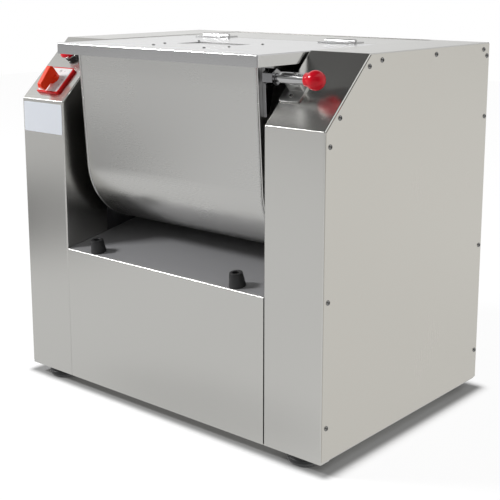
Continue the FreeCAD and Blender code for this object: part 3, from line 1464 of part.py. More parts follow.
def build_control_box():
    low = (
        -plate_outer - control_box_width,
        front + plate_front + control_box_setback,
        floor_z + control_box_low,
    )
    extent = (control_box_width, control_box_depth, control_box_height)
    keep("control_box", block("contactor_box", low, extent))


build_base()
build_feet()
bearing_sets = []
for word, sign in (("left", -1), ("right", 1)):
    build_column(word, sign)
    build_side_cover(word, sign)
    build_side_plate(word, sign)
    bearing_sets.append(build_trunnion(word, sign))
for node, pair in zip(("trunnion_sleeves", "shaft_bearings"), zip(*bearing_sets)):
    keep(node, group(node + "_pair", pair))
build_front_panel()
build_bumpers()
keep("panel_screws", group("panel_screw_set", cover_screws() + build_rear_panel()))
build_rear_top()
build_gland()
build_trough()
build_latch_bush()
build_agitator()
build_drive()
build_lid()
build_hinges()
build_latch()
build_switch()
build_button()
build_control_box()

DOC.recompute()
faults = [item.Name for item in DOC.Objects if {"Invalid", "Error"} & set(item.State)]
if faults:
    raise RuntimeError(f"failed objects: {faults}")
for item in PARTS:
    if item.Shape.isNull() or not item.Shape.isValid():
        raise RuntimeError(f"bad shape: {item.Label}")
for item, base in CUTS:
    if item.Shape.Volume > base.Shape.Volume - 0.001:
        raise RuntimeError(f"cuts nothing: {item.Name}")
for item in PARTS:
    item.Shape.exportStep(f"parts/{item.Label}.step")
print(len(PARTS), "parts")
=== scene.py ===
import math

import bmesh
import bpy
from mathutils import Matrix, Vector


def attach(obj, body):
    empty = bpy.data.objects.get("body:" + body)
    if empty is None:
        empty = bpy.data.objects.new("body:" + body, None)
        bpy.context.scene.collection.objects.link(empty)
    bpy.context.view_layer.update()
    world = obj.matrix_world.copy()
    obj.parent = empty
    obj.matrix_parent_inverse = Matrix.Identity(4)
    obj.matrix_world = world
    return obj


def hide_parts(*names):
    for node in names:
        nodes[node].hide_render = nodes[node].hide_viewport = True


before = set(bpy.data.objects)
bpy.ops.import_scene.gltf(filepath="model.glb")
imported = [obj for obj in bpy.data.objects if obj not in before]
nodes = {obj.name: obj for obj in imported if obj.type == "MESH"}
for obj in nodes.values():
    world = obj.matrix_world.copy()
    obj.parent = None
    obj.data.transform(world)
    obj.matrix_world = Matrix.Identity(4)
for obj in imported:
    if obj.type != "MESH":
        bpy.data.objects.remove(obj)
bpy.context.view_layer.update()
scene = bpy.context.scene
scene.view_settings.view_transform = "Standard"


# The camera stands at the right front corner, a little above the lid, and looks slightly down.
# Its line of sight meets the frame above the middle, so the frame is shifted down.
eye_place = (1.318, -1.5466, 0.7976)
eye_turn = 40.5
eye_down = 11.37
eye_film = 36
eye_lens = 76.22
eye_shift = -0.12
eye = bpy.data.objects.new("eye", bpy.data.cameras.new("eye"))
scene.collection.objects.link(eye)
eye.location = eye_place
eye.rotation_euler = (math.radians(90 - eye_down), 0, math.radians(eye_turn))
eye.data.sensor_width = eye_film
eye.data.lens = eye_lens
eye.data.shift_y = eye_shift
scene.camera = eye


# The studio: a pale floor and a dark ceiling, soft light from the sides, the rear and high on the right, and
# one square lamp high at the left front. What the camera sees of the floor away from the mixer is plain
# white, and close to the mixer it keeps the shadow, darkened further under and right round the mixer with
# painted shadow.
def add(tree, kind, inputs=None, **settings):
    """A node with its settings, and with its inputs given as values or as the sockets that feed them."""
    item = tree.nodes.new(kind)
    for name, value in settings.items():
        setattr(item, name, value)
    for name, value in (inputs or {}).items():
        if isinstance(value, bpy.types.NodeSocket):
            tree.links.new(value, item.inputs[name])
        else:
            item.inputs[name].default_value = value
    return item


def smooth_step(tree, value, low, high, first=0.0, last=1.0):
    """The value eased from first at low to last at high."""
    step = add(tree, "ShaderNodeMapRange", {
        "Value": value, "From Min": low, "From Max": high, "To Min": first, "To Max": last,
    }, interpolation_type="SMOOTHSTEP")
    return step.outputs["Result"]


def times(tree, first, second):
    return add(tree, "ShaderNodeMath", {0: first, 1: second}, operation="MULTIPLY").outputs[0]


def plus(tree, first, second):
    return add(tree, "ShaderNodeMath", {0: first, 1: second}, operation="ADD").outputs[0]


ceiling_light = 0.05
right_high_light = 1.4
left_high_light = 0.76
left_rear_light = 1.0
left_front_light = 0.34
rear_light = 0.75
front_light = 0.2
right_front_light = 0.12
right_light = 0.9
left_from = (-0.35, -0.75)
left_to_rear = (-0.5, 0.1)
left_to_high = (0.1, 0.5)
front_to_rear = (-0.3, 0.3)
right_from = (0.35, 0.75)
right_to_rear = (-0.3, 0.2)
ceiling_from = (0.62, 0.76)
ceiling_to_right = (0.1, 0.45)

world = bpy.data.worlds.new("studio")
scene.world = world
world.use_nodes = True
room = world.node_tree
room.nodes["Background"].inputs["Color"].default_value = (1, 1, 1, 1)
direction = add(room, "ShaderNodeTexCoord").outputs["Generated"]
part = add(room, "ShaderNodeSeparateXYZ", {"Vector": direction}).outputs


def between(factor, first, second):
    """The room's brightness, from first where the factor is 0 to second where it is 1."""
    return add(room, "ShaderNodeMix", {"Factor": factor, "A": first, "B": second}).outputs["Result"]


left_low = between(smooth_step(room, part["Y"], *left_to_rear), left_front_light, left_rear_light)
left_wall = between(smooth_step(room, part["Z"], *left_to_high), left_low, left_high_light)
light = between(smooth_step(room, part["Y"], *front_to_rear), front_light, rear_light)
light = between(smooth_step(room, part["X"], *left_from), light, left_wall)
right_wall = between(smooth_step(room, part["Y"], *right_to_rear), right_front_light, right_light)
light = between(smooth_step(room, part["X"], *right_from), light, right_wall)
ceiling = between(smooth_step(room, part["X"], *ceiling_to_right), ceiling_light, right_high_light)
light = between(smooth_step(room, part["Z"], *ceiling_from), light, ceiling)
seen = add(room, "ShaderNodeLightPath").outputs["Is Camera Ray"]
light = between(seen, light, 1.0)
room.links.new(light, room.nodes["Background"].inputs["Strength"])

floor_reach = 6.0
floor_colour = (0.88, 0.88, 0.89, 1)
shown_colour = (1.5, 1.5, 1.51, 1)
white_share = 0.9
# Under the mixer and just round it the camera sees the floor darkened to this colour: painted shadow.
painted_shadow_colour = (0.4, 0.4, 0.4, 1)
white_from = 0.035
painted_shadow_reach = 0.03
mixer_half = (0.37, 0.25, 10)
gloss_share = 0.9
gloss_light = 0.76
gloss_right_light = 0.88
gloss_left_light = 0.05
gloss_across = (-0.3, 0.9)
dim_place = (-1.75, -1.1, 0)
dim_reach = (0.3, 0.85)
# In reflections a patch of floor just in front of the mixer is dimmed: painted shade of the mixer.
shade_place = (0.05, -0.36, 0)
shade_form = (0.45, 1.2, 0)
shade_reach = (0.05, 0.2)
shade_light = 0.85
floor = bpy.data.objects.new("floor", bpy.data.meshes.new("floor"))
scene.collection.objects.link(floor)
corners = [(floor_reach * x, floor_reach * y, 0) for x, y in ((-1, -1), (1, -1), (1, 1), (-1, 1))]
floor.data.from_pydata(corners, [], [range(4)])
paint = bpy.data.materials.new("floor_paint")
paint.use_nodes = True
tree = paint.node_tree
tree.nodes.remove(tree.nodes["Principled BSDF"])
rays = add(tree, "ShaderNodeLightPath").outputs
spot = add(tree, "ShaderNodeTexCoord").outputs["Object"]
past = add(tree, "ShaderNodeVectorMath", {0: spot}, operation="ABSOLUTE").outputs[0]
past = add(tree, "ShaderNodeVectorMath", {0: past, 1: mixer_half}, operation="SUBTRACT").outputs[0]
past = add(tree, "ShaderNodeVectorMath", {0: past, 1: (0, 0, 0)}, operation="MAXIMUM").outputs[0]
clear = add(tree, "ShaderNodeVectorMath", {0: past}, operation="LENGTH").outputs["Value"]
shown_share = smooth_step(tree, clear, 0.0, white_from, 0.0, white_share)
# The painted shadow: the colour the camera sees darkens under the mixer and next to it.
shown = add(tree, "ShaderNodeMix", {
    "Factor": smooth_step(tree, clear, 0.0, painted_shadow_reach), 6: painted_shadow_colour, 7: shown_colour,
}, data_type="RGBA").outputs[2]
colour = add(tree, "ShaderNodeMix", {
    "Factor": rays["Is Camera Ray"], 6: floor_colour, 7: shown,
}, data_type="RGBA").outputs[2]
lit = add(tree, "ShaderNodeBsdfDiffuse", {"Color": colour}).outputs[0]
across = add(tree, "ShaderNodeSeparateXYZ", {"Vector": spot}).outputs["X"]
away = add(tree, "ShaderNodeVectorMath", {0: spot, 1: dim_place}, operation="DISTANCE").outputs["Value"]
shine = smooth_step(tree, across, *gloss_across, gloss_light, gloss_right_light)
shine = add(tree, "ShaderNodeMix", {
    "Factor": smooth_step(tree, away, *dim_reach), "A": gloss_left_light, "B": shine,
}).outputs["Result"]
# Painted shade: the floor seen in reflections is dimmed in front of the mixer.
beside = add(tree, "ShaderNodeVectorMath", {0: spot, 1: shade_place}, operation="SUBTRACT").outputs[0]
beside = add(tree, "ShaderNodeVectorMath", {0: beside, 1: shade_form}, operation="MULTIPLY").outputs[0]
beside = add(tree, "ShaderNodeVectorMath", {0: beside}, operation="LENGTH").outputs["Value"]
shine = times(tree, shine, smooth_step(tree, beside, *shade_reach, shade_light, 1.0))
strength = plus(tree, rays["Is Camera Ray"], times(tree, rays["Is Glossy Ray"], shine))
glow = add(tree, "ShaderNodeEmission", {"Strength": strength}).outputs[0]
share = plus(tree, times(tree, rays["Is Camera Ray"], shown_share),
             times(tree, rays["Is Glossy Ray"], gloss_share))
mixed = add(tree, "ShaderNodeMixShader", {0: share, 1: lit, 2: glow})
tree.links.new(mixed.outputs[0], tree.nodes["Material Output"].inputs["Surface"])
floor.data.materials.append(paint)

key_place = Vector((-2.5, -2.0, 2.5))
key_aim = Vector((0, 0, 0.4))
key_size = 0.7
key_power = 105
key_lamp = bpy.data.lights.new("key_lamp", "AREA")
key_lamp.shape = "RECTANGLE"
key_lamp.size = key_size
key_lamp.size_y = key_size
key_lamp.energy = key_power
key = bpy.data.objects.new("key_lamp", key_lamp)
scene.collection.objects.link(key)
key.location = key_place
key.rotation_euler = (key_aim - key_place).to_track_quat("-Z", "Y").to_euler()


# The bottom pan is bare stainless sheet, and the box rails over it are welded from tube and painted dark.
# Bare sheet has a fine grain along the rolling direction, with faint clouds of tone and of polish.
def new_group(name, inputs, outputs):
    """A shader group with named sockets: each is a name, a kind and, for an input, its value."""
    group = bpy.data.node_groups.new(name, "ShaderNodeTree")
    for label, kind, value in inputs:
        group.interface.new_socket(label, in_out="INPUT", socket_type=kind).default_value = value
    for label, kind in outputs:
        group.interface.new_socket(label, in_out="OUTPUT", socket_type=kind)
    return group, group.nodes.new("NodeGroupInput").outputs, group.nodes.new("NodeGroupOutput").inputs


finish_sockets = [
    ("Colour", "NodeSocketColor"), ("Roughness", "NodeSocketFloat"), ("Height", "NodeSocketFloat"),
]
side_facing = (0.6, 0.8)
cloud_scale = 6.0
streak_wear = 0.3
wear_share = 0.25
grain, given, result = new_group(
    "rolled_grain",
    [
        ("Across", "NodeSocketVector", (900, 6, 6)),
        ("Side Across", "NodeSocketVector", (6, 900, 6)),
        ("Colour", "NodeSocketColor", (0.6, 0.6, 0.6, 1)),
        ("Roughness", "NodeSocketFloat", 0.28),
        ("Streak", "NodeSocketFloat", 0.05),
        ("Cloud", "NodeSocketFloat", 0.04),
    ],
    finish_sockets,
)
spot = add(grain, "ShaderNodeTexCoord").outputs
facing = add(grain, "ShaderNodeSeparateXYZ", {"Vector": spot["Normal"]}).outputs["X"]
facing = add(grain, "ShaderNodeMath", {0: facing}, operation="ABSOLUTE").outputs[0]
on_side = smooth_step(grain, facing, *side_facing)
stretch = add(grain, "ShaderNodeMix", {
    "Factor": on_side, 4: given["Across"], 5: given["Side Across"],
}, data_type="VECTOR").outputs[1]
stretched = add(grain, "ShaderNodeVectorMath", {
    0: spot["Object"], 1: stretch,
}, operation="MULTIPLY").outputs[0]
streaks = add(grain, "ShaderNodeTexNoise", {
    "Vector": stretched, "Scale": 1.0, "Detail": 1.0,
}).outputs["Fac"]
clouds = add(grain, "ShaderNodeTexNoise", {
    "Vector": spot["Object"], "Scale": cloud_scale, "Detail": 3.0,
}).outputs["Fac"]
centred = plus(grain, streaks, -0.5)
soft = plus(grain, clouds, -0.5)
tone = plus(grain, times(grain, centred, given["Streak"]), times(grain, soft, given["Cloud"]))
tone = plus(grain, times(grain, tone, 2.0), 1.0)
tinted = add(grain, "ShaderNodeVectorMath", {
    0: given["Colour"], "Scale": tone,
}, operation="SCALE").outputs[0]
grain.links.new(tinted, result["Colour"])
wear = plus(grain, times(grain, centred, streak_wear), soft)
wear = plus(grain, times(grain, wear, wear_share), 1.0)
grain.links.new(times(grain, given["Roughness"], wear), result["Roughness"])
grain.links.new(streaks, result["Height"])


def finish_material(name, group, values, metallic, relief, depth=0.0002, coat=0.0, tint=None):
    """A finish made from a shader group that gives colour, roughness and height."""
    material = bpy.data.materials.new(name)
    material.use_nodes = True
    tree = material.node_tree
    shader = tree.nodes["Principled BSDF"]
    made = add(tree, "ShaderNodeGroup", values, node_tree=group)
    bump = add(tree, "ShaderNodeBump", {
        "Height": made.outputs["Height"], "Distance": depth, "Strength": relief,
    })
    shader.inputs["Metallic"].default_value = metallic
    shader.inputs["Coat Weight"].default_value = coat
    if tint:
        shader.inputs["Specular Tint"].default_value = (*tint, 1)
    tree.links.new(made.outputs["Colour"], shader.inputs["Base Color"])
    tree.links.new(made.outputs["Roughness"], shader.inputs["Roughness"])
    tree.links.new(bump.outputs["Normal"], shader.inputs["Normal"])
    return material


def steel(name, across, side_across, colour=(0.62, 0.615, 0.59), roughness=0.24, streak=0.006, cloud=0.015,
          relief=0.008):
    """Bare steel with a rolled grain: high numbers in across are the directions that the streaks cross."""
    return finish_material(name, grain, {
        "Across": across, "Side Across": side_across, "Colour": (*colour, 1), "Roughness": roughness,
        "Streak": streak, "Cloud": cloud,
    }, metallic=1.0, relief=relief)


skin, given, result = new_group(
    "fine_skin",
    [
        ("Scale", "NodeSocketFloat", 900.0),
        ("Colour", "NodeSocketColor", (0.5, 0.5, 0.5, 1)),
        ("Dust Colour", "NodeSocketColor", (0.3, 0.3, 0.3, 1)),
        ("Roughness", "NodeSocketFloat", 0.4),
        ("Dust", "NodeSocketFloat", 0.1),
    ],
    finish_sockets,
)
patch_scale = 28.0
dust_from = (0.45, 0.75)
patch_rough = 0.16
dust_rough = 0.3
spot = add(skin, "ShaderNodeTexCoord").outputs["Object"]
pores = add(skin, "ShaderNodeTexNoise", {
    "Vector": spot, "Scale": given["Scale"], "Detail": 2.0,
}).outputs["Fac"]
patches = add(skin, "ShaderNodeTexNoise", {
    "Vector": spot, "Scale": patch_scale, "Detail": 4.0,
}).outputs["Fac"]
settled = smooth_step(skin, patches, *dust_from)
share = times(skin, settled, given["Dust"])
dusty = add(skin, "ShaderNodeMix", {
    "Factor": share, 6: given["Colour"], 7: given["Dust Colour"],
}, data_type="RGBA").outputs[2]
skin.links.new(dusty, result["Colour"])
rough = plus(skin, given["Roughness"], times(skin, plus(skin, patches, -0.5), patch_rough))
rough = plus(skin, rough, times(skin, share, dust_rough))
skin.links.new(rough, result["Roughness"])
skin.links.new(pores, result["Height"])


def moulded(name, colour, roughness, dust=0.06, dust_colour=(0.3, 0.3, 0.3), scale=900.0, relief=0.1,
            metallic=0.0, coat=0.0, tint=None):
    """Plastic, rubber, paint or a casting: a fine skin with some dust in soft patches."""
    return finish_material(name, skin, {
        "Scale": scale, "Colour": (*colour, 1), "Dust Colour": (*dust_colour, 1), "Roughness": roughness,
        "Dust": dust,
    }, metallic, relief, depth=0.0003, coat=coat, tint=tint)


def dress(material, *names):
    """Puts a finish on CAD pieces that are shown as they are."""
    for name in names:
        for slot in nodes[name].material_slots:
            slot.material = material


fine = 2200
slow = 4
upright = steel("upright_steel", (fine, slow, slow), (slow, fine, slow))
dress(upright, "base_pan")
frame_paint_and_shade = moulded("frame_paint_and_shade", (0.06, 0.06, 0.065), 0.45, dust=0.2, scale=600.0, relief=0.25)
dress(frame_paint_and_shade, "base_frame")


# Four round feet of black rubber, moulded with a tread at the floor and a groove round the middle.
# A screw through each foot's core holds it to the rails.
def turned(name, profile, place, direction=(0, 0, 1), steps=48, closed=False):
    """A turned solid: the profile gives radius and height, from pole to pole or round a ring."""
    turn = Vector((0, 0, 1)).rotation_difference(Vector(direction)).to_matrix().to_4x4()
    made = bmesh.new()
    rings = []
    for radius, height in profile:
        count = 1 if radius == 0 else steps
        angles = [2 * math.pi * k / count for k in range(count)]
        rings.append([made.verts.new((radius * math.cos(a), radius * math.sin(a), height)) for a in angles])
    follow = rings[1:] + (rings[:1] if closed else [])
    for first, second in zip(rings, follow):
        for k in range(steps):
            ends = (first[k % len(first)], first[(k + 1) % len(first)],
                    second[(k + 1) % len(second)], second[k % len(second)])
            corners = list(dict.fromkeys(ends))
            if len(corners) > 2:
                made.faces.new(corners)
    bmesh.ops.recalc_face_normals(made, faces=made.faces)
    made.transform(Matrix.Translation(place) @ turn)
    return finished(name, made)


sharp_angle = 32


def finished(name, made):
    """An object of the mesh, shaded smooth up to the angle of a real edge."""
    mesh = bpy.data.meshes.new(name)
    made.to_mesh(mesh)
    made.free()
    mesh.shade_smooth()
    mesh.set_sharp_from_angle(angle=math.radians(sharp_angle))
    item = bpy.data.objects.new(name, mesh)
    scene.collection.objects.link(item)
    return item


def settle(item, material, body, slot, *replaced):
    """Gives a piece its finish and its body, and hides the CAD nodes that it stands for; the slot is not
    used.
    """
    item.data.materials.clear()
    item.data.materials.append(material)
    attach(item, body)
    if replaced:
        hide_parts(*replaced)


def joined(name, items):
    """One object from several."""
    made = bmesh.new()
    for item in items:
        made.from_mesh(item.data)
        bpy.data.objects.remove(item)
    return finished(name, made)


foot_height = 0.02
foot_x = 0.31
foot_y = (-0.227, 0.217)
foot_profile = [
    (0, 0), (0.0235, 0), (0.0247, 0.0006), (0.0272, 0.0044), (0.028, 0.0056), (0.028, 0.0108),
    (0.0272, 0.0116), (0.0272, 0.0128), (0.028, 0.0136), (0.028, 0.0188), (0.0272, 0.0199),
    (0.024, foot_height), (0, foot_height),
]
rubber = moulded("black_rubber", (0.012, 0.012, 0.013), 0.5, dust=0.12, dust_colour=(0.12, 0.12, 0.12),
                 scale=1200.0, relief=0.25)
feet = [turned(f"foot_{i}{j}", foot_profile, (x, y, 0))
        for i, x in enumerate((-foot_x, foot_x)) for j, y in enumerate(foot_y)]
settle(joined("round_feet", feet), rubber, "housing", "black_rubber", "rubber_feet")


# The two columns: front, slope and top are one bent sheet of brushed stainless, and a flat cover is screwed
# on from the side. A plain white plate is stuck on the left one below its slope.
front = -0.259
side = 0.37
inner_wall = 0.248
slope_foot = 0.566
slope_run = 0.118
slope_rise = 0.113
slope_angle = math.atan2(slope_rise, slope_run)
slope_turn = Matrix.Translation((0, front, slope_foot)) @ Matrix.Rotation(slope_angle, 4, "X")
slope_out = slope_turn.to_3x3() @ Vector((0, 0, 1))
merge_distance = 0.00002
flat_angle = 0.5


def on_slope(x, along, off=0.0):
    """A point across, along and off the slope's plane, from the foot of the slope."""
    return slope_turn @ Vector((x, along, off))


def softened(name, node, width, material, body, slot, segments=2):
    """A copy of a CAD piece with its sharp edges rounded, in the piece's place."""
    made = bmesh.new()
    made.from_mesh(nodes[node].data)
    bmesh.ops.remove_doubles(made, verts=made.verts, dist=merge_distance)
    bmesh.ops.dissolve_limit(made, angle_limit=math.radians(flat_angle), verts=made.verts, edges=made.edges)
    item = finished(name, made)
    bevel = item.modifiers.new("edges", "BEVEL")
    bevel.width = width
    bevel.segments = segments
    bevel.limit_method = "ANGLE"
    bevel.angle_limit = math.radians(sharp_angle)
    bevel.harden_normals = True
    settle(item, material, body, slot, node)


def rounded_outline(width, height, corner, steps=6):
    """The corner points of a rectangle with round corners, about its middle."""
    points = []
    for k, (sx, sy) in enumerate(((1, 1), (-1, 1), (-1, -1), (1, -1))):
        for i in range(steps + 1):
            a = math.pi / 2 * (k + i / steps)
            points.append((sx * (width / 2 - corner) + corner * math.cos(a),
                           sy * (height / 2 - corner) + corner * math.sin(a)))
    return points


def slab(name, outline, low, high, where):
    """A flat plate of the outline, from low to high over the place's plane."""
    made = bmesh.new()
    base = [made.verts.new((x, y, low)) for x, y in outline]
    lid = [made.verts.new((x, y, high)) for x, y in outline]
    count = len(outline)
    made.faces.new(list(reversed(base)))
    made.faces.new(lid)
    for i in range(count):
        k = (i + 1) % count
        made.faces.new((base[i], base[k], lid[k], lid[i]))
    bmesh.ops.recalc_face_normals(made, faces=made.faces)
    made.transform(where)
    return finished(name, made)


column_steel = steel("column_steel", (fine, slow, slow), (slow, fine, slow), roughness=0.25)
dress(column_steel, "left_column_shell", "right_column_shell")
cover_steel = steel("cover_steel", (fine, slow, slow), (slow, fine, slow), (0.64, 0.62, 0.57), 0.26)
softened("left_cover", "left_side_cover", 0.0004, cover_steel, "housing", "panel_steel")
softened("right_cover", "right_side_cover", 0.0004, cover_steel, "housing", "panel_steel")
label_film = moulded("label_film", (0.68, 0.71, 0.76), 0.32, dust=0.04, dust_colour=(0.6, 0.6, 0.6),
                     scale=700.0, relief=0.04)
label_width = 0.113
label_height = 0.058
label_corner = 0.003
label_back = -0.0002
label_face = 0.0005
label_turn = Matrix.Translation((-0.3085, front, 0.531)) @ Matrix.Rotation(math.pi / 2, 4, "X")
label_outline = rounded_outline(label_width, label_height, label_corner)
settle(slab("plain_label", label_outline, label_back, label_face, label_turn), label_film, "housing",
       "white_plastic")


# Inside each column a thick steel plate carries the trough and the drive. The plates are sawn and drilled,
# and bolted to the rails. Their near-black finish, shared with the rails, is painted shade of the column's
# inside.
# The dark finish on these plates is painted shade of the inside of the columns.
softened("left_plate", "left_side_plate", 0.0006, frame_paint_and_shade, "housing", "frame_steel")
softened("right_plate", "right_side_plate", 0.0006, frame_paint_and_shade, "housing", "frame_steel")


# Between the columns one bent sheet makes the front and the sloping shelf, and the well's back closes the
# space behind the trough. The grain runs across the mixer. Above the bend the shelf is rougher and less
# metallic, and its colour is darkened with painted shade of the well under the trough.
shelf_bend = (0.2785, 0.2815)
shelf_shade_colour = (0.29, 0.29, 0.3, 1)
shelf_rough = 0.3
shelf_dull = -0.85
level = steel("level_steel", (slow, fine, fine), (slow, slow, fine))
front_steel = steel("front_steel", (slow, fine, fine), (slow, slow, fine))
tree = front_steel.node_tree
shader = tree.nodes["Principled BSDF"]
height = add(tree, "ShaderNodeSeparateXYZ", {
    "Vector": add(tree, "ShaderNodeTexCoord").outputs["Object"],
}).outputs["Z"]
# Above the bend: rougher and less metallic, and darker in colour as painted shade of the well.
rough_and_shaded = smooth_step(tree, height, *shelf_bend)
matt_with_painted_shade = add(tree, "ShaderNodeMix", {
    "Factor": rough_and_shaded, 6: shader.inputs["Base Color"].links[0].from_socket, 7: shelf_shade_colour,
}, data_type="RGBA").outputs[2]
tree.links.new(matt_with_painted_shade, shader.inputs["Base Color"])
coarse = plus(tree, shader.inputs["Roughness"].links[0].from_socket, times(tree, rough_and_shaded, shelf_rough))
tree.links.new(coarse, shader.inputs["Roughness"])
tree.links.new(plus(tree, times(tree, rough_and_shaded, shelf_dull), 1.0), shader.inputs["Metallic"])
dress(front_steel, "front_panel")
dress(level, "well_back_panel")


# Two buffers of black rubber on the shelf stop the tipped trough. Each is a moulded cone, held to the sheet
# by a screw sunk in its middle.
shelf_foot = 0.28
shelf_run = 0.372
shelf_rise = 0.0656
shelf_angle = math.atan2(shelf_rise, shelf_run)
shelf_turn = Matrix.Translation((0, front, shelf_foot)) @ Matrix.Rotation(shelf_angle, 4, "X")
shelf_out = shelf_turn.to_3x3() @ Vector((0, 0, 1))
buffer_x = 0.176
buffer_setback = 0.017
buffer_profile = [
    (0.0022, 0), (0.0146, 0), (0.015, 0.0006), (0.0138, 0.0088), (0.0126, 0.0178), (0.012, 0.0232),
    (0.0114, 0.0246), (0.0104, 0.025), (0.0066, 0.025), (0.006, 0.0244), (0.006, 0.02), (0.0022, 0.02),
]
buffers = [turned(f"buffer_{i}", buffer_profile, shelf_turn @ Vector((x, buffer_setback, 0)), shelf_out,
                  closed=True) for i, x in enumerate((-buffer_x, buffer_x))]
settle(joined("rubber_buffers", buffers), rubber, "housing", "black_rubber", "tilt_bumpers")


# The back sheet with its vents and the fixed strip of the top are brushed stainless too, screwed to the
# case. The cable gland in the back sheet is moulded in black plastic.
black_plastic = moulded("black_plastic", (0.025, 0.025, 0.026), 0.38, dust=0.1, scale=800.0)
dress(upright, "rear_panel")
dress(level, "rear_top_plate")
softened("gland_nut", "cable_gland", 0.0004, black_plastic, "housing", "black_plastic")


# All sheets are held by steel pan-head screws with a cross recess, turned to chance angles.
# One node tree makes a head with its shank and puts it on every screw place of a group.
def new_tree(name, inputs):
    """A geometry tree that starts from the object's own mesh."""
    tree = bpy.data.node_groups.new(name, "GeometryNodeTree")
    tree.interface.new_socket("Geometry", in_out="INPUT", socket_type="NodeSocketGeometry")
    for label, kind in inputs:
        tree.interface.new_socket(label, in_out="INPUT", socket_type=kind)
    tree.interface.new_socket("Geometry", in_out="OUTPUT", socket_type="NodeSocketGeometry")
    return tree, tree.nodes.new("NodeGroupInput").outputs, tree.nodes.new("NodeGroupOutput").inputs


def grown(item, tree, values):
    """Runs a geometry tree on an object and keeps what it makes as a plain mesh."""
    modifier = item.modifiers.new("make", "NODES")
    modifier.node_group = tree
    for socket in tree.interface.items_tree:
        if socket.in_out == "INPUT" and socket.name in values:
            modifier[socket.identifier] = values[socket.name]
    graph = bpy.context.evaluated_depsgraph_get()
    graph.update()
    mesh = bpy.data.meshes.new_from_object(item.evaluated_get(graph), depsgraph=graph)
    item.modifiers.clear()
    item.data = mesh
    mesh.shade_smooth()
    mesh.set_sharp_from_angle(angle=math.radians(sharp_angle))


screw_tree, given, result = new_tree("pan_head_screws", [
    ("Head Radius", "NodeSocketFloat"), ("Head Height", "NodeSocketFloat"),
    ("Recess Width", "NodeSocketFloat"), ("Recess Depth", "NodeSocketFloat"),
    ("Shank Radius", "NodeSocketFloat"), ("Shank Length", "NodeSocketFloat"),
    ("Seed", "NodeSocketInt"), ("Finish", "NodeSocketMaterial"),
])
dome_taper = -0.42
recess_length = 1.15
recess_width = 0.32
recess_depth = 0.75
shank_radius = 0.002
shank_sink = -0.49
turn_seed = 7
edge_margin = 0.01
blank = add(screw_tree, "GeometryNodeMeshCone", {
    "Vertices": 20, "Side Segments": 4, "Fill Segments": 1, "Radius Top": given["Head Radius"],
    "Radius Bottom": given["Head Radius"], "Depth": given["Head Height"],
}).outputs["Mesh"]
at = add(screw_tree, "ShaderNodeSeparateXYZ", {
    "Vector": add(screw_tree, "GeometryNodeInputPosition").outputs[0],
}).outputs
rise_share = add(screw_tree, "ShaderNodeMath", {
    0: at["Z"], 1: given["Head Height"],
}, operation="DIVIDE").outputs[0]
shrink = plus(screw_tree, times(screw_tree, times(screw_tree, rise_share, rise_share), dome_taper), 1.0)
domed = add(screw_tree, "ShaderNodeCombineXYZ", {
    "X": times(screw_tree, at["X"], shrink), "Y": times(screw_tree, at["Y"], shrink), "Z": at["Z"],
}).outputs[0]
head = add(screw_tree, "GeometryNodeSetPosition", {"Geometry": blank, "Position": domed}).outputs[0]
arm_length = times(screw_tree, given["Head Radius"], recess_length)
recess_height = times(screw_tree, given["Recess Depth"], 2.0)
raise_by = add(screw_tree, "ShaderNodeCombineXYZ", {"Z": given["Head Height"]}).outputs[0]
for across, up in ((arm_length, given["Recess Width"]), (given["Recess Width"], arm_length)):
    bar_size = add(screw_tree, "ShaderNodeCombineXYZ", {"X": across, "Y": up, "Z": recess_height})
    bar = add(screw_tree, "GeometryNodeMeshCube", {"Size": bar_size.outputs[0]}).outputs["Mesh"]
    bar = add(screw_tree, "GeometryNodeTransform", {"Geometry": bar, "Translation": raise_by}).outputs[0]
    head = add(screw_tree, "GeometryNodeMeshBoolean", {"Mesh 1": head, "Mesh 2": bar},
               operation="DIFFERENCE", solver="EXACT").outputs["Mesh"]
shank = add(screw_tree, "GeometryNodeMeshCylinder", {
    "Vertices": 10, "Side Segments": 1, "Fill Segments": 1, "Radius": given["Shank Radius"],
    "Depth": given["Shank Length"],
}).outputs["Mesh"]
lower_by = add(screw_tree, "ShaderNodeCombineXYZ", {
    "Z": times(screw_tree, given["Shank Length"], shank_sink),
}).outputs[0]
shank = add(screw_tree, "GeometryNodeTransform", {"Geometry": shank, "Translation": lower_by}).outputs[0]
whole = add(screw_tree, "GeometryNodeJoinGeometry", {"Geometry": head})
screw_tree.links.new(shank, whole.inputs["Geometry"])
out_of = add(screw_tree, "GeometryNodeInputNamedAttribute", {"Name": "facing"}, data_type="FLOAT_VECTOR")
upright_turned = add(screw_tree, "FunctionNodeAlignRotationToVector", {
    "Vector": out_of.outputs["Attribute"],
}, axis="Z").outputs[0]
chance = add(screw_tree, "FunctionNodeRandomValue", {2: 0.0, 3: math.pi / 2, "Seed": given["Seed"]},
             data_type="FLOAT").outputs[1]
twist = add(screw_tree, "FunctionNodeAxisAngleToRotation", {"Axis": (0, 0, 1), "Angle": chance}).outputs[0]
turned_by = add(screw_tree, "FunctionNodeRotateRotation", {
    "Rotation": upright_turned, "Rotate By": twist,
}, rotation_space="LOCAL").outputs[0]
placed = add(screw_tree, "GeometryNodeInstanceOnPoints", {
    "Points": given["Geometry"], "Instance": whole.outputs[0], "Rotation": turned_by,
}).outputs[0]
real = add(screw_tree, "GeometryNodeRealizeInstances", {"Geometry": placed}).outputs[0]
coated = add(screw_tree, "GeometryNodeSetMaterial", {"Geometry": real, "Material": given["Finish"]})
screw_tree.links.new(coated.outputs[0], result[0])


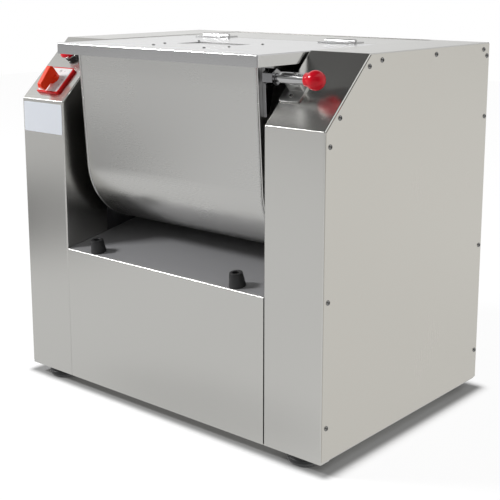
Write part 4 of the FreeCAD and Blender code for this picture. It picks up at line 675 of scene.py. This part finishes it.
def screw_places(node, facing_of):
    """The foot of each screw head of a CAD node and the way that it faces."""
    made = bmesh.new()
    made.from_mesh(nodes[node].data)
    bmesh.ops.remove_doubles(made, verts=made.verts, dist=merge_distance)
    taken = set()
    places = []
    for first in made.verts:
        if first.index in taken:
            continue
        taken.add(first.index)
        group = [first]
        for vert in group:
            for edge in vert.link_edges:
                other = edge.other_vert(vert)
                if other.index not in taken:
                    taken.add(other.index)
                    group.append(other)
        facing = facing_of(sum((v.co for v in group), Vector()) / len(group))
        reach = max(v.co.dot(facing) for v in group)
        rim = [v.co for v in group if v.co.dot(facing) > reach - merge_distance]
        centre = Vector([(min(c) + max(c)) / 2 for c in zip(*rim)])
        places.append((centre, facing))
    made.free()
    return places


def screws(name, node, body, facing_of, head_radius, head_height, shank_length):
    """The screws of a CAD node, made anew with their recesses."""
    places = screw_places(node, facing_of)
    mesh = bpy.data.meshes.new(name)
    mesh.from_pydata([point - way * head_height for point, way in places], [], [])
    facings = mesh.attributes.new("facing", "FLOAT_VECTOR", "POINT")
    for item, (point, way) in zip(facings.data, places):
        item.vector = way
    piece = bpy.data.objects.new(name, mesh)
    scene.collection.objects.link(piece)
    grown(piece, screw_tree, {
        "Head Radius": head_radius, "Head Height": head_height,
        "Recess Width": head_radius * recess_width, "Recess Depth": head_height * recess_depth,
        "Shank Radius": shank_radius, "Shank Length": shank_length,
        "Seed": turn_seed, "Finish": screw_steel,
    })
    settle(piece, screw_steel, body, "screw_steel", node)


def cover_facing(point):
    """The way a cover screw faces: sideways on the covers, and to the rear on the back sheet."""
    if abs(point.x) > side - edge_margin:
        return Vector((math.copysign(1, point.x), 0, 0))
    return Vector((0, 1, 0))


def ground(name, scale, colour, roughness, streak, cloud, relief=0.008):
    """Ground or plated metal, whose fine marks run no one way."""
    all_ways = (scale, scale, scale)
    return steel(name, all_ways, all_ways, colour, roughness, streak, cloud, relief)


# The heads are dark grey steel, darkened beyond that as painted shade of the gap round each head.
screw_steel = ground("screw_steel", 60, (0.24, 0.24, 0.235), 0.2, streak=0.08, cloud=0.05, relief=0.1)
screws("cover_screw_heads", "panel_screws", "housing", cover_facing, head_radius=0.0045, head_height=0.0022,
       shank_length=0.0015)
screws("buffer_screw_heads", "bumper_screws", "housing", lambda point: shelf_out, head_radius=0.004,
       head_height=0.0022, shank_length=0.024)


# Trunnions: a flanged steel sleeve is pressed into each side plate, with a bronze bearing for the agitator's
# shaft inside. The trough's hubs turn round the sleeves, and the layshaft has bronze bearings too.
turned_steel = steel("turned_steel", (2600, slow, slow), (90, 90, 90), (0.58, 0.58, 0.58), 0.22,
                     streak=0.06, cloud=0.03, relief=0.15)
bronze = moulded("bearing_bronze", (0.46, 0.32, 0.15), 0.35, dust=0.15, dust_colour=(0.2, 0.14, 0.08),
                 scale=500.0, relief=0.2, metallic=1.0)
softened("sleeves", "trunnion_sleeves", 0.0005, turned_steel, "housing", "machined_steel")
dress(bronze, "shaft_bearings", "layshaft_bearings")


# The trough: one rolled sheet between two flat ends, welded all round with a rippled bead, and a flat rim.
# It is satin stainless, with hubs welded to its ends and rubber seals round the shaft.
trough_steel = steel("trough_steel", (slow, fine, fine), (slow, fine, slow), (0.59, 0.587, 0.57), 0.28,
                     streak=0.004, cloud=0.02, relief=0.004)
dress(trough_steel, "bowl_shell", "bowl_ends")
softened("trough_rim", "bowl_rim", 0.0005, trough_steel, "bowl", "trough_steel")
softened("trough_hubs", "bowl_hubs", 0.0006, turned_steel, "bowl", "machined_steel")
dress(rubber, "shaft_seals")

bead_tree, given, result = new_tree("welded_bead", [
    ("Bead Radius", "NodeSocketFloat"), ("Ripple Pitch", "NodeSocketFloat"),
    ("Ripple Depth", "NodeSocketFloat"), ("Finish", "NodeSocketMaterial"),
])
path = add(bead_tree, "GeometryNodeMeshToCurve", {"Mesh": given["Geometry"]}).outputs[0]
path = add(bead_tree, "GeometryNodeResampleCurve", {
    "Curve": path, "Length": times(bead_tree, given["Ripple Pitch"], 0.25),
}, mode="LENGTH").outputs[0]
along = add(bead_tree, "GeometryNodeSplineParameter").outputs["Length"]
phase = add(bead_tree, "ShaderNodeMath", {0: along, 1: given["Ripple Pitch"]}, operation="DIVIDE")
turns = times(bead_tree, phase.outputs[0], 2 * math.pi)
wave = add(bead_tree, "ShaderNodeMath", {0: turns}, operation="SINE").outputs[0]
swell = plus(bead_tree, times(bead_tree, wave, given["Ripple Depth"]), 1.0)
path = add(bead_tree, "GeometryNodeSetCurveRadius", {"Curve": path, "Radius": swell}).outputs[0]
section = add(bead_tree, "GeometryNodeCurvePrimitiveCircle", {
    "Resolution": 8, "Radius": given["Bead Radius"],
}).outputs["Curve"]
bead = add(bead_tree, "GeometryNodeCurveToMesh", {
    "Curve": path, "Profile Curve": section, "Fill Caps": True,
}).outputs[0]
real = add(bead_tree, "GeometryNodeRealizeInstances", {"Geometry": bead}).outputs[0]
coated = add(bead_tree, "GeometryNodeSetMaterial", {"Geometry": real, "Material": given["Finish"]})
bead_tree.links.new(coated.outputs[0], result[0])


def bead_along(name, paths, radius, pitch, depth, material, body, slot):
    """A rippled bead along open paths of points."""
    points = [point for path in paths for point in path]
    edges = []
    start = 0
    for path in paths:
        edges += [(start + i, start + i + 1) for i in range(len(path) - 1)]
        start += len(path)
    mesh = bpy.data.meshes.new(name)
    mesh.from_pydata(points, edges, [])
    piece = bpy.data.objects.new(name, mesh)
    scene.collection.objects.link(piece)
    grown(piece, bead_tree, {
        "Bead Radius": radius, "Ripple Pitch": pitch, "Ripple Depth": depth, "Finish": material,
    })
    settle(piece, material, body, slot)


axis_y = -0.097
axis_z = 0.456
trough_radius = 0.13
mouth_half = 0.144
rim_z = 0.659
trough_half = 0.219
reach = math.hypot(mouth_half, rim_z - axis_z)
touch = math.atan2(rim_z - axis_z, mouth_half) - math.acos(trough_radius / reach)
bead_radius = 0.0016
bead_pitch = 0.003
bead_ripple = 0.12
bead_inset = 0.004
bead_steps = 60


def end_outline(x):
    """The trough's outline from one side of the mouth round the bottom to the other."""
    points = [(x, axis_y + mouth_half, rim_z)]
    for i in range(bead_steps + 1):
        a = touch - (math.pi + 2 * touch) * i / bead_steps
        points.append((x, axis_y + trough_radius * math.cos(a), axis_z + trough_radius * math.sin(a)))
    points.append((x, axis_y - mouth_half, rim_z))
    return points


weld_steel = ground("weld_steel", 40, (0.55, 0.55, 0.54), 0.26, streak=0.1, cloud=0.1, relief=0.2)
weld_paths = [end_outline(s * (trough_half - bead_inset)) for s in (-1, 1)]
bead_along("end_welds", weld_paths, bead_radius, bead_pitch, bead_ripple, weld_steel, "bowl",
           "trough_steel")


# The agitator: a through shaft of turned steel with three arms and two twisted round bars. The arms and
# bars are welded together and ground smooth all over.
ground_steel = ground("ground_steel", 60, (0.62, 0.62, 0.62), 0.2, streak=0.03, cloud=0.04, relief=0.05)
softened("arms", "agitator_arms", 0.0012, ground_steel, "agitator", "agitator_steel")
dress(ground_steel, "agitator_bars")
dress(turned_steel, "agitator_shaft")


# The drive in the right column: a cut steel gear and pinion, a layshaft in two bearings, a rubber belt and
# two cast pulleys. The motor is a painted casting with a moulded terminal box.
gear_steel = steel("gear_steel", (fine, slow, slow), (70, 70, 70), (0.42, 0.42, 0.43), 0.32, streak=0.08,
                   cloud=0.06, relief=0.2)
cast_paint = moulded("cast_paint", (0.10, 0.115, 0.13), 0.45, dust=0.2, scale=420.0, relief=0.5)
dress(gear_steel, "drive_gear", "pinion")
dress(turned_steel, "layshaft", "motor_shaft")
softened("outer_bracket", "layshaft_bracket", 0.0008, frame_paint_and_shade, "housing", "frame_steel")
dress(cast_paint, "layshaft_pulley", "motor_pulley", "motor_body")
dress(rubber, "drive_belt")
softened("motor_box", "motor_terminal_box", 0.002, black_plastic, "housing", "black_plastic", segments=3)
softened("contactor_box", "control_box", 0.003, black_plastic, "housing", "black_plastic", segments=3)


# The lid: a folded tray of polished stainless whose window a plate closes from below, on two leaf hinges.
# Small screws hold the plate, and the folded front corners are welded and ground.
lid_steel = steel("lid_steel", (slow, fine, fine), (slow, slow, fine), (0.65, 0.65, 0.65), 0.2,
                  streak=0.005, cloud=0.01)
hinge_steel = steel("hinge_steel", (slow, 900, 900), (900, 900, slow), (0.55, 0.55, 0.55), 0.3, streak=0.04,
                    cloud=0.03)
dress(lid_steel, "lid_panel", "lid_window_plate")
screws("lid_screw_heads", "lid_screws", "lid", lambda point: Vector((0, 0, 1)), head_radius=0.0032,
       head_height=0.0013, shank_length=0.003)
softened("lid_leaves", "lid_hinge_leaves", 0.0004, hinge_steel, "lid", "bright_metal")
softened("rear_leaves", "rear_hinge_leaves", 0.0004, hinge_steel, "housing", "bright_metal")
dress(turned_steel, "hinge_pins")


# The latch, screwed to the right slope: a bright plated bracket with a slotted sleeve, and a spring bolt
# with a cross pin and a red ball knob moulded on. The bolt drops into a hexagonal bush on the trough's ear.
plating = ground("latch_plating", 300, (0.5, 0.5, 0.5), 0.14, streak=0.02, cloud=0.03, relief=0.03)
bracket_steel = ground("bracket_steel", 120, (0.5, 0.5, 0.49), 0.3, streak=0.03, cloud=0.03)
dark_plating = ground("ear_plating", 200, (0.3, 0.3, 0.31), 0.16, streak=0.04, cloud=0.05)
softened("latch_foot", "latch_bracket", 0.0005, bracket_steel, "housing", "bright_metal")
softened("latch_tube", "latch_sleeve", 0.0005, plating, "housing", "bright_metal")
softened("latch_rod", "latch_plunger", 0.0005, plating, "latch_bolt", "bright_metal")
softened("ear_plate", "latch_ear", 0.0007, dark_plating, "bowl", "bright_metal")
softened("hex_bush", "latch_bush", 0.0006, dark_plating, "bowl", "bright_metal")
screws("latch_screw_heads", "latch_screws", "housing", lambda point: slope_out, head_radius=0.0044,
       head_height=0.0022, shank_length=0.006)

red_gloss = moulded("red_gloss", (0.68, 0.008, 0.022), 0.14, dust=0.02, dust_colour=(0.5, 0.1, 0.1),
                    scale=300.0, relief=0.03, coat=0.08, tint=(1.0, 0.35, 0.35))
ball_past_wall = 0.0765
ball_along = 0.075
ball_off = 0.0305
ball_place = on_slope(inner_wall + ball_past_wall, ball_along, ball_off)
ball_radius = 0.0162
skirt_radius = 0.0116
skirt_start = -0.0177
ball_steps = 24
ball_profile = [(0, ball_radius - 0.0003), (0.004, ball_radius - 0.0003)]
for i in range(3, 19):
    a = math.pi / 2 - math.pi * i / ball_steps
    if ball_radius * math.cos(a) > skirt_radius or a > 0:
        ball_profile.append((ball_radius * math.cos(a), ball_radius * math.sin(a)))
ball_profile += [
    (skirt_radius + 0.0002, -0.0113), (skirt_radius, -0.0121), (skirt_radius, skirt_start + 0.0008),
    (skirt_radius - 0.0005, skirt_start), (0.0106, skirt_start), (0.0104, skirt_start + 0.0004),
    (0.0104, skirt_start + 0.0084), (0, skirt_start + 0.0084),
]
settle(turned("ball_knob", ball_profile, ball_place, (1, 0, 0)), red_gloss, "latch_bolt", "red_plastic",
       "latch_knob")


# The rotary switch on the left slope: a red moulded plate, a white face with printed marks, and a pointer
# grip. The marks are a ring for off, a bar for on and short ticks.
switch_x = -0.304
switch_along = 0.047
face_top = 0.0068
red_orange = moulded("red_orange_plastic", (0.85, 0.035, 0.006), 0.3, dust=0.03,
                     dust_colour=(0.5, 0.12, 0.1), scale=700.0, relief=0.06, tint=(1.0, 0.4, 0.3))
red_satin = moulded("red_satin_plastic", (0.7, 0.01, 0.012), 0.3, dust=0.03, dust_colour=(0.5, 0.1, 0.1),
                    scale=700.0, relief=0.06, tint=(1.0, 0.4, 0.4))
white_satin = moulded("white_satin_plastic", (0.82, 0.82, 0.82), 0.32, dust=0.05,
                      dust_colour=(0.6, 0.6, 0.58), scale=700.0, relief=0.04)
mark_ink = moulded("mark_ink", (0.03, 0.03, 0.03), 0.4, dust=0.02, scale=700.0)
softened("switch_frame", "switch_plate", 0.0012, red_satin, "housing", "red_plastic", segments=3)
softened("switch_sheet", "switch_face", 0.0003, white_satin, "housing", "white_plastic")
dress(red_orange, "switch_knob")
softened("switch_box", "switch_body", 0.002, black_plastic, "housing", "black_plastic", segments=3)

mark_radius = 0.0215
mark_height = 0.00012
tick_radius = 0.0245
tick_count = 12
ring_profile = [(0.0021, 0), (0.0029, 0), (0.0029, mark_height), (0.0021, mark_height)]
ring_place = on_slope(switch_x, switch_along + mark_radius, face_top)
marks = [turned("off_ring", ring_profile, ring_place, slope_out, steps=24, closed=True)]


def mark_bar(name, angle, radius, length, width):
    """A printed bar on the switch's face, at an angle round its middle."""
    where = slope_turn @ Matrix.Translation((switch_x, switch_along, face_top))
    where = where @ Matrix.Rotation(math.radians(angle), 4, "Z") @ Matrix.Translation((radius, 0, 0))
    return slab(name, rounded_outline(length, width, width * 0.3, 2), 0, mark_height, where)


marks.append(mark_bar("on_bar", 0, mark_radius, length=0.0052, width=0.0009))
for i in range(tick_count):
    if i % 3:
        marks.append(mark_bar(f"tick_{i}", 360 / tick_count * i, tick_radius, length=0.003, width=0.0005))
settle(joined("switch_marks", marks), mark_ink, "housing", "black_plastic")


# The stop button beside the switch: a black collar, a bright ring and a red mushroom cap on its stem, with
# the contact block behind the sheet.
button_x = -0.308
button_along = 0.113
collar_profile = [
    (0.0093, 0), (0.0148, 0), (0.015, 0.0004), (0.015, 0.0062), (0.0143, 0.007), (0.0093, 0.007),
]
bezel_profile = [
    (0.0093, 0.007), (0.0133, 0.007), (0.0135, 0.0074), (0.0135, 0.0103), (0.0128, 0.011), (0.0093, 0.011),
]
cap_profile = [
    (0, 0.026), (0.005, 0.0259), (0.0095, 0.0253), (0.0135, 0.0241), (0.0166, 0.0223), (0.0184, 0.0203),
    (0.019, 0.0184), (0.019, 0.017), (0.0184, 0.0162), (0.017, 0.016), (0.009, 0.016), (0.009, -0.0075),
    (0, -0.0075),
]
button_foot = on_slope(button_x, button_along)
bright_ring = ground("bright_ring", 200, (0.7, 0.7, 0.7), 0.15, streak=0.02, cloud=0.02)
settle(turned("collar", collar_profile, button_foot, slope_out, closed=True), black_plastic, "housing",
       "black_plastic", "button_collar")
settle(turned("bright_collar_ring", bezel_profile, button_foot, slope_out, closed=True), bright_ring,
       "housing", "bright_metal", "button_bezel")
settle(turned("mushroom_cap", cap_profile, button_foot, slope_out), red_gloss, "push_button", "red_plastic",
       "button_cap")
softened("contacts", "button_contact_block", 0.001, black_plastic, "housing", "black_plastic")
